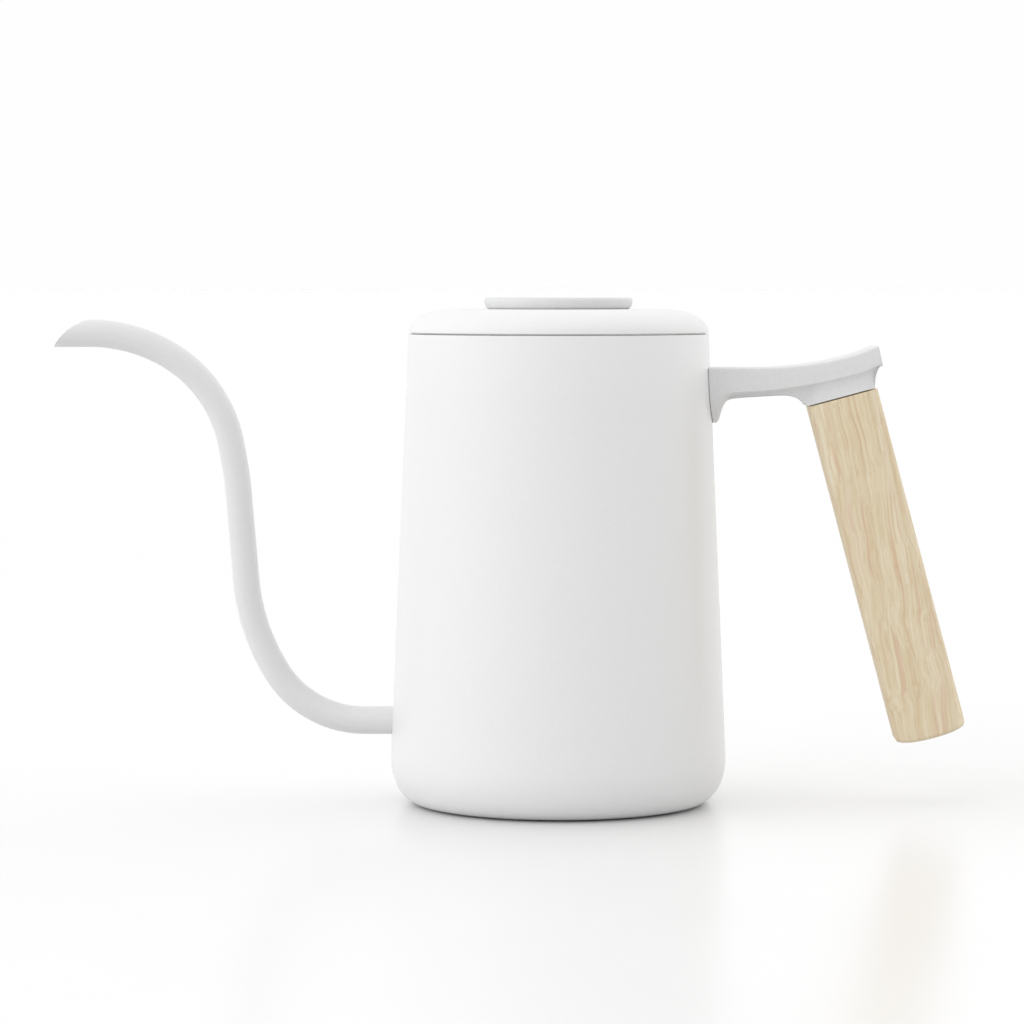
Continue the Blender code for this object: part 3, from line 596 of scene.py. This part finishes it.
def spout():
    course = spout_course()
    deselect()
    x, z, heading = course[0]
    bpy.ops.mesh.primitive_circle_add(
        vertices=64, radius=SPOUT_RADII[0], location=(x, 0, z), rotation=(0, math.pi / 2, 0)
    )
    tube = started("spout_tube_coated")
    last = SPOUT_RADII[0]
    for i, (next_x, next_z, next_heading) in enumerate(course[1:], 1):
        share = i / (len(course) - 1)
        end = SPOUT_RADII[0] if share < 0.5 else SPOUT_RADII[2]
        radius = SPOUT_RADII[1] + (end - SPOUT_RADII[1]) * abs(2 * share - 1)
        bpy.ops.mesh.extrude_region_move(TRANSFORM_OT_translate={"value": (next_x - x, 0, next_z - z)})
        bpy.ops.transform.rotate(
            value=next_heading - heading, orient_axis="Y", center_override=(next_x, 0, next_z)
        )
        bpy.ops.transform.resize(value=[radius / last] * 3, center_override=(next_x, 0, next_z))
        x, z, heading, last = next_x, next_z, next_heading, radius
    closed_up(tube)
    use(tube, "SOLIDIFY", thickness=SPOUT_WALL, offset=-1, use_even_offset=True)
    end_x, end_z, _ = course[-1]
    lowest = math.sqrt(TIP_CUT_RADIUS**2 - (TIP_CUT_DROP - SPOUT_RADII[2]) ** 2)
    middle = (end_x + SPOUT_RADII[2] + lowest, end_z - TIP_CUT_DROP)
    band = quarter(middle, TIP_CUT_RADIUS, TIP_CUT_RADIUS, 80, 200, 40)
    band += quarter(middle, 2 * TIP_CUT_RADIUS, 2 * TIP_CUT_RADIUS, 200, 80, 20)
    tool = draw_line("tip_cut", band + [band[0]])
    bpy.ops.mesh.select_all(action="SELECT")
    bpy.ops.mesh.remove_doubles(threshold=MERGE)
    bpy.ops.transform.translate(value=(0, -8 * MM, 0))
    bpy.ops.mesh.edge_face_add()
    bpy.ops.mesh.extrude_region_move(TRANSFORM_OT_translate={"value": (0, 16 * MM, 0)})
    cut(tube, closed_up(tool))
    smooth(tube)
    # The tube's coat carries painted shade: it is the body's white, painted greyer.
    stand_for(tube, "spout_tube", "kettle", "white_tube_coat", TUBE_WHITE)


spout()

# ---------------------------------------------------------------- handle


def along(rail, share):
    """A point on a rail of points, by its share of the rail's stations."""
    place = share * (len(rail) - 1)
    i = min(int(place), len(rail) - 2)
    t = place - i
    p0, p1, p2, p3 = (rail[min(max(k, 0), len(rail) - 1)] for k in (i - 1, i, i + 1, i + 2))
    return [
        0.5 * (2 * b + (c - a) * t + (2 * a - 5 * b + 4 * c - d) * t * t + (3 * b - a - 3 * c + d) * t**3)
        for a, b, c, d in zip(p0, p1, p2, p3)
    ]


# The arm's stations from the pad to the end. Each is the top edge, the crease and the underside as (x, z)
# in millimetres, the underside's half width, and how far the underside has changed from the pad's round
# foot (0) to the flat web (1).
ARM_STATIONS = (
    ((43.6, 124.6), (43.9, 117.9), (44.4, 108.8), 0.5, 0.0),
    ((44.6, 124.6), (44.9, 117.7), (45.2, 109.0), 0.8, 0.0),
    ((45.4, 124.6), (45.7, 117.6), (45.9, 110.2), 1.2, 0.0),
    ((46.1, 124.6), (46.4, 117.5), (46.3, 111.9), 1.8, 0.05),
    ((46.9, 124.6), (47.2, 117.5), (46.8, 113.3), 2.8, 0.15),
    ((47.8, 124.6), (48.1, 117.5), (47.5, 114.7), 4.0, 0.4),
    ((48.8, 124.6), (49.1, 117.6), (48.4, 115.5), 5.0, 0.75),
    ((50.0, 124.6), (50.3, 117.65), (49.7, 115.9), 6.0, 0.95),
    ((53.3, 124.6), (53.5, 117.8), (53.3, 116.25), 6.8, 1.0),
    ((57.0, 124.6), (57.3, 118.0), (57.2, 116.5), 7.0, 1.0),
    ((61.0, 124.7), (61.6, 118.4), (61.2, 116.7), 7.0, 1.0),
    ((64.6, 124.95), (65.4, 118.9), (64.4, 116.75), 6.9, 1.0),
    ((67.0, 125.15), (68.0, 119.3), (66.8, 116.3), 6.7, 1.0),
    ((68.8, 125.35), (69.8, 119.6), (68.5, 115.6), 6.4, 1.0),
    ((70.1, 125.5), (71.1, 119.85), (69.7, 114.7), 6.2, 1.0),
    ((71.2, 125.65), (72.2, 120.05), (70.5, 113.8), 6.4, 1.0),
    ((72.2, 125.8), (73.2, 120.2), (71.6, 114.06), 7.2, 1.0),
    ((73.5, 126.05), (74.6, 120.5), (73.2, 114.5), 7.8, 1.0),
    ((75.6, 126.4), (76.8, 120.95), (75.4, 115.08), 8.15, 1.0),
    ((79.0, 127.15), (80.3, 121.8), (79.4, 116.15), 8.2, 1.0),
    ((82.6, 128.05), (83.9, 122.7), (83.4, 117.22), 8.2, 1.0),
    ((85.6, 129.0), (86.8, 123.6), (86.0, 117.92), 8.1, 1.0),
    ((87.2, 129.6), (88.3, 124.2), (87.9, 118.43), 7.9, 1.0),
    ((88.1, 129.98), (89.2, 124.65), (89.0, 118.72), 7.6, 1.0),
    ((88.65, 130.2), (89.8, 124.95), (89.6, 119.1), 7.2, 1.0),
    ((88.95, 130.31), (90.1, 125.1), (89.62, 120.6), 7.3, 1.0),
    ((89.2, 130.4), (90.35, 125.28), (89.85, 122.4), 7.6, 1.0),
    ((89.4, 130.48), (90.55, 125.4), (90.2, 123.7), 8.2, 1.0),
    ((89.5, 130.53), (90.68, 125.46), (90.5, 124.5), 8.8, 1.0),
    ((89.55, 130.55), (90.75, 125.5), (90.72, 125.0), 9.2, 1.0),
)
# Also in millimetres: the arm's half width, the round of its top edges, the depth of the cove under its
# crease, and how far the web is drawn in at the waist and leans out again below it.
ARM_HALF = 9.5
ARM_EDGE = 0.45
ARM_COVE = 2.6
WEB_WAIST = 0.35
WEB_LEAN = 0.55
END_ROUND = 1.0 * MM


def arm_section(top, crease, under, half, change):
    """Half of the arm's section, from the middle of the top to the middle of the underside."""
    up = (Vector(top) - Vector(crease)).normalized()
    down = Vector(under) - Vector(crease)
    points = [(k / 4 * (ARM_HALF - ARM_EDGE), Vector(top)) for k in range(5)]
    for k in range(1, 5):
        angle = math.pi / 2 * k / 4
        lift = ARM_EDGE * (1 - math.cos(angle))
        points.append((ARM_HALF - ARM_EDGE * (1 - math.sin(angle)), Vector(top) - up * lift))
    side = (Vector(top) - Vector(crease)).length
    for k in range(1, 6):
        points.append((ARM_HALF, Vector(top) - up * (ARM_EDGE + (side - ARM_EDGE) * k / 6)))
    crisp = 0.25 * change
    points.append((ARM_HALF - 0.03 * change, Vector(crease) + up * crisp))
    # Under the crease a cove turns down to the web or the collar, whose side then leans out again.
    waist = half - WEB_WAIST
    reach = ARM_HALF - 0.03 - waist
    cove = min(0.8 * down.length, ARM_COVE) / down.length
    web = []
    for k in range(1, 9):
        angle = math.pi / 2 * k / 8
        web.append((waist + reach * (1 - math.sin(angle)), cove * (1 - math.cos(angle))))
    for k in range(1, 4):
        web.append((waist + WEB_LEAN * (k / 3) ** 1.5, cove + (0.97 - cove) * k / 3))
    web += [(half * 0.96, 1.0), (half * 0.5, 1.0), (0.0, 1.0)]
    for k, (web_y, web_z) in enumerate(web, 1):
        angle = math.pi / 2 * k / len(web)
        y = ARM_HALF * math.cos(angle) * (1 - change) + web_y * change
        z = math.sin(angle) * (1 - change) + web_z * change
        points.append((y, Vector(crease) + down * z))
    return points


def bracket():
    rings = []
    stations = 4 * (len(ARM_STATIONS) - 1)
    rails = [[s[k] for s in ARM_STATIONS] for k in range(3)]
    halves = [(s[3], s[4]) for s in ARM_STATIONS]
    for i in range(stations + 1):
        share = i / stations
        top, crease, under = (along(rail, share) for rail in rails)
        half, change = along(halves, share)
        section = arm_section(top, crease, under, half, min(1.0, max(0.0, change)))
        ring = [(at.x * MM, y * MM, at.y * MM) for y, at in section]
        ring += [(x, -y, z) for x, y, z in reversed(ring[1:-1])]
        rings.append(ring)
    gap = 0.15 * MM
    rings[0] = [(math.sqrt((wall_radius(z) + gap) ** 2 - y * y), y, z) for x, y, z in rings[0]]
    deselect()
    bpy.ops.mesh.primitive_circle_add(vertices=len(rings[0]), radius=MM)
    arm = started("handle_bracket_cast")
    bpy.ops.object.mode_set(mode="OBJECT")
    for vertex, spot in zip(arm.data.vertices, rings[0]):
        vertex.co = spot
    for ring in rings[1:]:
        bpy.ops.object.mode_set(mode="EDIT")
        bpy.ops.mesh.extrude_region_move()
        bpy.ops.object.mode_set(mode="OBJECT")
        fresh = [v for v in arm.data.vertices if v.select]
        for vertex, spot in zip(fresh, ring):
            vertex.co = spot
    # The end is rounded off and closed, and then the pad's face is closed.
    bpy.ops.object.mode_set(mode="EDIT")
    middle = sum((Vector(spot) for spot in rings[-1]), Vector()) / len(rings[-1])
    out = Vector((math.cos(GRIP_TILT), 0, math.sin(GRIP_TILT)))
    done = 0.0
    wide, tall = 1.0, 1.0
    for k in range(1, 6):
        angle = math.pi / 2 * k / 5
        move = END_ROUND * math.sin(angle)
        back = 1 - math.cos(angle)
        next_wide = 1 - END_ROUND * back / (ARM_HALF * MM)
        next_tall = 1 - END_ROUND / 4 * back / (ARM_HALF * MM)
        bpy.ops.mesh.extrude_region_move(TRANSFORM_OT_translate={"value": out * (move - done)})
        size = (next_tall / tall, next_wide / wide, next_tall / tall)
        bpy.ops.transform.resize(value=size, center_override=middle + out * move)
        done, wide, tall = move, next_wide, next_tall
    bpy.ops.mesh.edge_face_add()
    bpy.ops.mesh.select_all(action="DESELECT")
    bpy.ops.mesh.select_mode(type="EDGE")
    bpy.ops.mesh.select_non_manifold()
    bpy.ops.mesh.edge_face_add()
    bpy.ops.mesh.select_mode(type="VERT")
    closed_up(arm, 30)
    stand_for(arm, "handle_bracket", "kettle", "grey_cast_coat", CAST)


bracket()


def round_rim(piece, test, radius, steps):
    """Rounds a piece's sharp edges whose both ends pass the test."""
    take(piece)
    bpy.ops.object.mode_set(mode="EDIT")
    bpy.ops.mesh.select_mode(type="EDGE")
    bpy.ops.mesh.select_all(action="DESELECT")
    bpy.ops.object.mode_set(mode="OBJECT")
    mesh = piece.data
    normals = {}
    for face in mesh.polygons:
        for key in face.edge_keys:
            normals.setdefault(key, []).append(face.normal)
    for edge in mesh.edges:
        sides = normals.get(edge.key, [])
        sharp = len(sides) == 2 and sides[0].dot(sides[1]) < math.cos(math.radians(40))
        edge.select = sharp and all(test(mesh.vertices[v].co) for v in edge.vertices)
    bpy.ops.object.mode_set(mode="EDIT")
    bpy.ops.mesh.bevel(offset=radius, segments=steps, affect="EDGES")
    bpy.ops.object.mode_set(mode="OBJECT")


def grip():
    top = -0.25 * MM
    bottom = GRIP_BOTTOM
    deselect()
    bpy.ops.mesh.primitive_plane_add(size=1, location=(0, 0, top))
    wood = started("wood_grip_shaped")
    bpy.ops.transform.resize(value=(GRIP_WIDTH, GRIP_DEPTH, 1), center_override=(0, 0, top))
    bpy.ops.mesh.bevel(offset=GRIP_CORNER, segments=14, affect="VERTICES")
    bpy.ops.mesh.extrude_region_move(TRANSFORM_OT_translate={"value": (0, 0, bottom - 2 * MM - top)})
    closed_up(wood)
    crown = []
    for k in range(73):
        angle = math.radians(-18 + k / 2)
        crown.append((GRIP_CROWN * math.sin(angle), bottom + GRIP_CROWN * (1 - math.cos(angle))))
    below = bottom - 9 * MM
    tool = draw_line("crown", [(-GRIP_WIDTH, below), *crown, (GRIP_WIDTH, below), (-GRIP_WIDTH, below)])
    bpy.ops.mesh.select_all(action="SELECT")
    bpy.ops.mesh.remove_doubles(threshold=MERGE)
    bpy.ops.transform.translate(value=(0, -GRIP_DEPTH, 0))
    bpy.ops.mesh.edge_face_add()
    bpy.ops.mesh.extrude_region_move(TRANSFORM_OT_translate={"value": (0, 2 * GRIP_DEPTH, 0)})
    cut(wood, closed_up(tool))
    pocket_top = bottom + COUNTERBORE_DEPTH
    cut(wood, rod("pocket", COUNTERBORE_RADIUS, bottom - GRIP_DEPTH, pocket_top, 64))
    cut(wood, rod("bore", 2.8 * MM, pocket_top - 5 * MM, GRIP_WIDTH))
    smooth(wood, 30)
    outer = 7 * MM  # the outline lies outside this and the counterbore's rim inside
    round_rim(wood, lambda at: at.z < bottom + 3 * MM and math.hypot(at.x, at.y) > outer, 1.3 * MM, 6)
    round_rim(wood, lambda at: at.z > top - 0.01 * MM and math.hypot(at.x, at.y) > outer, 0.4 * MM, 4)
    round_rim(wood, lambda at: at.z < bottom + 3 * MM and math.hypot(at.x, at.y) < 6 * MM, 0.5 * MM, 4)
    # A cut just clear of each rounded rim keeps its curve out of the long flat sides.
    bpy.ops.object.mode_set(mode="EDIT")
    for level in (bottom + 4 * MM, top - 1.5 * MM):
        bpy.ops.mesh.select_all(action="SELECT")
        bpy.ops.mesh.bisect(plane_co=(0, 0, level), plane_no=(0, 0, 1))
    bpy.ops.object.mode_set(mode="OBJECT")
    smooth(wood, 30)
    put(wood, TO_GRIP)
    stand_for(wood, "wood_grip", "kettle", "pale_wood", ASH)


grip()

# ---------------------------------------------------------------- lid


def lid():
    hole = KNOB_STEM_RADIUS + CLEARANCE
    top = high("lid_shell").z
    centre = (TOP_RADIUS - LID_ROUND, LID_EDGE)
    tall = top - LID_EDGE
    outside = quarter(centre, LID_ROUND, tall, 90, 0, 24)[:-1]
    inside = quarter(centre, LID_ROUND - WALL, tall - WALL, 0, 90, 24)[1:]
    profile = [(hole, top), *outside]
    profile += [(TOP_RADIUS, LID_EDGE, RIM_ROUND), (TOP_RADIUS - WALL, LID_EDGE, RIM_ROUND)]
    profile += [*inside, (hole, top - WALL)]
    shell = turned("lid_shell_coated", rounded(profile), ring=True)
    to_vent = Matrix.Translation((VENT_PLACE, 0, 0))
    cut(shell, put(rod("hole", VENT_RADIUS + 0.05 * MM, top - 5 * MM, top + 5 * MM), to_vent))
    smooth(shell)
    stand_for(shell, "lid_shell", "lid", "white_coat", WHITE)

    outer = high("lid_liner").y
    flange_top = high("lid_liner").z
    flange = flange_top - WALL
    plug = low("lid_liner").z
    skirt = high("lid_seal").y - 2.1 * MM
    profile = rounded([
        (outer, flange_top, 0.2 * MM),
        (outer, flange, 0.3 * MM),
        (skirt, flange, 0.3 * MM),
        (skirt, plug + WALL, 0.3 * MM),
        (skirt + 1.5 * MM, plug + WALL, 0.3 * MM),
        (skirt + 1.5 * MM, plug, 0.45 * MM),
        (9 * MM, plug, 0.5 * MM),
        (8 * MM, plug + 0.3 * MM, 0.5 * MM),
        (M4_RADIUS + CLEARANCE, plug + 0.3 * MM),
        (M4_RADIUS + CLEARANCE, plug + WALL),
        (skirt - WALL, plug + WALL, 0.4 * MM),
        (skirt - WALL, flange_top, 0.3 * MM),
    ])
    liner = turned("lid_liner_pressed", profile, ring=True)
    cut(liner, put(rod("hole", VENT_RADIUS + 0.05 * MM, plug - 5 * MM, plug + 3 * MM), to_vent))
    smooth(liner)
    stand_for(liner, "lid_liner", "lid", "stainless_steel", STEEL)

    seal_top = high("lid_seal").z
    seal_low = low("lid_seal").z
    outer = high("lid_seal").y
    inner = outer - 1.8 * MM
    lip = (seal_top - seal_low) / 4
    waist = outer - 0.6 * MM
    profile = rounded([
        (waist, seal_top, 0.1 * MM),
        (outer, seal_top - lip, 0.2 * MM),
        (waist, seal_top - 2 * lip, 0.25 * MM),
        (outer, seal_low + lip, 0.2 * MM),
        (waist, seal_low, 0.1 * MM),
        (inner, seal_low, 0.15 * MM),
        (inner, seal_top, 0.15 * MM),
    ], 3)
    stand_for(turned("lid_seal_moulded", profile, ring=True), "lid_seal", "seal", "silicone", SILICONE)

    profile = rounded([
        (VENT_RADIUS, top - 0.02 * MM, 0.2 * MM),
        (VENT_RADIUS, plug),
        (VENT_BORE, plug, 0.2 * MM),
        (VENT_BORE, top - 0.02 * MM, 0.3 * MM),
    ])
    bush = put(turned("vent_bush_turned", profile, 64, ring=True), to_vent)
    stand_for(bush, "vent_bush", "lid", "stainless_steel", HARDWARE)


def knob():
    top = high("knob").z
    under = high("lid_shell").z + 0.04 * MM
    radius = high("knob").y
    foot = radius - 1.3 * MM
    recess = under + 0.8 * MM
    stem = KNOB_STEM_RADIUS
    stem_low = low("knob").z
    edge = 0.9 * MM
    profile = [(0, top), (radius - 6 * MM, top)]
    profile += quarter((radius - edge, top - edge), edge, edge, 90, 0, 8)
    profile += quarter((foot, top - edge), radius - foot, top - edge - under, 0, -90, 10)[1:]
    profile += [
        (KNOB_RECESS_RADIUS, under),
        (KNOB_RECESS_RADIUS, recess),
        (stem, recess),
        (stem, stem_low + 0.3 * MM),
        (stem - 0.3 * MM, stem_low),
        (M4_RADIUS, stem_low),
        (M4_RADIUS, stem_low + 9 * MM),
        (0, stem_low + 9 * MM),
    ]
    stand_for(turned("knob_disc", profile), "knob", "lid", "grey_cast_coat", KNOB)

    pad_top = high("knob_pad").z
    pad_low = high("lid_shell").z + 0.02 * MM
    pad = rounded([
        (PAD_RADIUS, pad_top, 0.1 * MM),
        (PAD_RADIUS, pad_low, 0.1 * MM),
        (stem + CLEARANCE, pad_low),
        (stem + CLEARANCE, pad_top),
    ], 2)
    # The pad's dark rubber also paints the shadow line under the knob.
    stand_for(turned("knob_pad_cut", pad, ring=True), "knob_pad", "lid", "dark_spacer", SPACER)


lid()
knob()

# ---------------------------------------------------------------- fasteners and seals


def screw(name, radius, length, head):
    """A screw with its head below Z = 0 and its shank above, its head domed or straight with a socket."""
    head_radius, head_height, dome, socket = head
    chamfer = radius / 4
    profile = rounded([
        (0, -head_height),
        (head_radius - dome, -head_height, 0.4 * dome),
        (head_radius, -head_height + dome, 0.4 * dome),
        (head_radius, -0.15 * MM),
        (head_radius - 0.15 * MM, 0),
        (radius, 0),
        (radius, length - chamfer),
        (radius - chamfer, length),
        (0, length),
    ])
    made = turned(name, profile, SMALL_SIDES)
    depth = 0.55 * head_height
    cut(made, rod("key", socket / math.sqrt(3), -2 * head_height, depth - head_height, 6))
    smooth(made, 30)
    return made


def washer(name, outer, inner, thickness):
    edge = 0.12 * MM
    profile = rounded([
        (outer, thickness, edge), (outer, 0, edge), (inner, 0, edge), (inner, thickness, edge)
    ], 2)
    return turned(name, profile, SMALL_SIDES, ring=True)


def copied(piece, name):
    made = piece.copy()
    made.data = piece.data.copy()
    made.name = name
    made.data.name = name
    bpy.context.scene.collection.objects.link(made)
    return made


def fasteners():
    bolt = screw("handle_screw_made_1", M4_RADIUS, 12 * MM, M4_HEAD)
    flat = washer("screw_washer_made_1", *M4_WASHER)
    seal = turned("screw_seal_made_1", rounded([
        (4.2 * MM, 0, 0.2 * MM), (4.2 * MM, 1.2 * MM), (2.2 * MM, 1.2 * MM), (2.2 * MM, 0, 0.2 * MM)
    ]), SMALL_SIDES, ring=True)
    for number, side in ((1, -1), (2, 1)):
        y = side * SCREW_OFFSET
        for first, node, x, slot, finish in (
            (bolt, "handle_screw", low("screw_washer_1").x - 0.02 * MM, "stainless_steel", HARDWARE),
            (flat, "screw_washer", low("screw_washer_1").x, "stainless_steel", HARDWARE),
            (seal, "screw_seal", low("screw_seal_1").x - 0.25 * MM, "silicone", SILICONE),
        ):
            made = copied(first, f"{node}_piece_{number}")
            put(made, along_x(x, y, SCREW_HEIGHT))
            stand_for(made, f"{node}_{number}", "kettle", slot, finish)
    for first in (bolt, flat, seal):
        bpy.data.objects.remove(first)

    flat = washer("knob_washer_piece", *M4_WASHER)
    put(flat, Matrix.Translation((0, 0, low("knob_washer").z)))
    stand_for(flat, "knob_washer", "lid", "stainless_steel", HARDWARE)
    bolt = screw("knob_screw_piece", M4_RADIUS, 8 * MM, M4_HEAD)
    put(bolt, Matrix.Translation((0, 0, low("knob_screw").z + M4_HEAD_HEIGHT)))
    stand_for(bolt, "knob_screw", "lid", "stainless_steel", HARDWARE)

    seat = GRIP_BOTTOM + COUNTERBORE_DEPTH - 0.9 * MM
    flat = washer("grip_washer_piece", *M5_WASHER)
    put(flat, TO_GRIP @ Matrix.Translation((0, 0, seat)))
    stand_for(flat, "grip_washer", "kettle", "stainless_steel", HARDWARE)
    bolt = screw("grip_bolt_piece", M5_RADIUS, 7 * MM - seat, M5_HEAD)
    put(bolt, TO_GRIP @ Matrix.Translation((0, 0, seat - 0.3 * MM)))
    stand_for(bolt, "grip_bolt", "kettle", "stainless_steel", HARDWARE)


fasteners()

# The handle's gasket and spacer take the dark spacer rubber, which also paints the shadow lines of their
# joints.
for node, finish in (
    ("base_disc", ALUMINIUM),
    ("handle_gasket", SPACER),
    ("grip_spacer", SPACER),
    ("bracket_insert", HARDWARE),
):
    dress(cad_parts[node], finish)

# ---------------------------------------------------------------- set, light and camera


FLOOR_WIDTH = 400


def stage_set():
    deselect()
    bpy.ops.mesh.primitive_grid_add(x_subdivisions=8, y_subdivisions=8, size=FLOOR_WIDTH)
    floor = started("pale_floor")
    bpy.ops.object.mode_set(mode="OBJECT")
    made, tree, shader = new_finish("glossy_white_board", Roughness=0.24, IOR=1.5)
    where = add(tree, "ShaderNodeTexCoord")["Object"]
    mist = add(tree, "ShaderNodeTexNoise", {"Vector": where, "Scale": per(60 * MM), "Detail": 2.0})["Fac"]
    colour = add(tree, "ShaderNodeValToRGB", {"Fac": mist}, [(0.3, "#f6f6f6"), (0.7, "#f7f7f7")])["Color"]
    tree.links.new(colour, shader.inputs["Base Color"])
    # For the object's diffuse light the board is painted a darker grey than it looks, which paints shade on
    # the object's undersides.
    path = add(tree, "ShaderNodeLightPath")
    flagged = add(tree, "ShaderNodeBsdfDiffuse", {"Color": linear("#d6d6d6")})["BSDF"]
    sides = {0: path["Is Diffuse Ray"], 1: shader.outputs["BSDF"], 2: flagged}
    mixed = add(tree, "ShaderNodeMixShader", sides)[0]
    tree.links.new(mixed, tree.nodes["Material Output"].inputs["Surface"])
    dress(floor, made)


# The studio's soft lights: direction round from the front and up, in degrees, and strength.
LIGHTS = (
    (0, 15, 0.45),
    (45, 15, 0.45),
    (90, 15, 0.80),
    (135, 15, 1.45),
    (180, 15, 0.60),
    (225, 15, 0.45),
    (270, 15, 1.29),
    (315, 15, 1.76),
    (0, 55, 0.10),
    (90, 55, 0.92),
    (180, 55, 0.33),
    (270, 55, 0.88),
    (0, 90, 0.20),
)
LIGHT_SPREAD = 6.0


def sky():
    """Soft studio light from all round, brightest from the left and dim at the front, on plain white."""
    world = bpy.data.worlds.new("studio")
    bpy.context.scene.world = world
    world.use_nodes = True
    tree = world.node_tree
    tree.nodes.clear()
    where = add(tree, "ShaderNodeTexCoord")["Generated"]
    total = 0.0
    for round_from_front, up, strength in LIGHTS:
        turn, rise = math.radians(round_from_front), math.radians(up)
        toward = (math.sin(turn) * math.cos(rise), -math.cos(turn) * math.cos(rise), math.sin(rise))
        facing = add(tree, "ShaderNodeVectorMath", {0: where, 1: toward}, operation="DOT_PRODUCT")["Value"]
        lit = add(tree, "ShaderNodeMath", {0: facing, 1: 0.0}, operation="MAXIMUM")[0]
        soft = add(tree, "ShaderNodeMath", {0: lit, 1: LIGHT_SPREAD}, operation="POWER")[0]
        total = add(tree, "ShaderNodeMath", {0: soft, 1: strength, 2: total}, operation="MULTIPLY_ADD")[0]
    path = add(tree, "ShaderNodeLightPath")
    lamps = add(tree, "ShaderNodeBackground", {"Color": total, "Strength": 1.0})[0]
    plain = add(tree, "ShaderNodeBackground", {"Color": linear("#fefefe"), "Strength": 1.0})[0]
    looked_at = {0: path["Is Camera Ray"], 1: path["Is Glossy Ray"]}
    seen = add(tree, "ShaderNodeMath", looked_at, operation="MAXIMUM")[0]
    mixed = add(tree, "ShaderNodeMixShader", {0: seen, 1: lamps, 2: plain})[0]
    add(tree, "ShaderNodeOutputWorld", {"Surface": mixed})


CAMERA_LENS = 130.08
CAMERA_PLACE = (-13.25 * MM, -1056.1 * MM, 147.63 * MM)
CAMERA_TILT = math.radians(86.515)


def camera():
    data = bpy.data.cameras.new("camera")
    data.lens = CAMERA_LENS
    data.sensor_width = 36
    data.clip_end = 400
    made = bpy.data.objects.new("camera", data)
    bpy.context.scene.collection.objects.link(made)
    made.location = CAMERA_PLACE
    made.rotation_euler = (CAMERA_TILT, 0, 0)
    bpy.context.scene.camera = made


stage_set()
sky()
camera()
bpy.context.scene.view_settings.view_transform = "Standard"
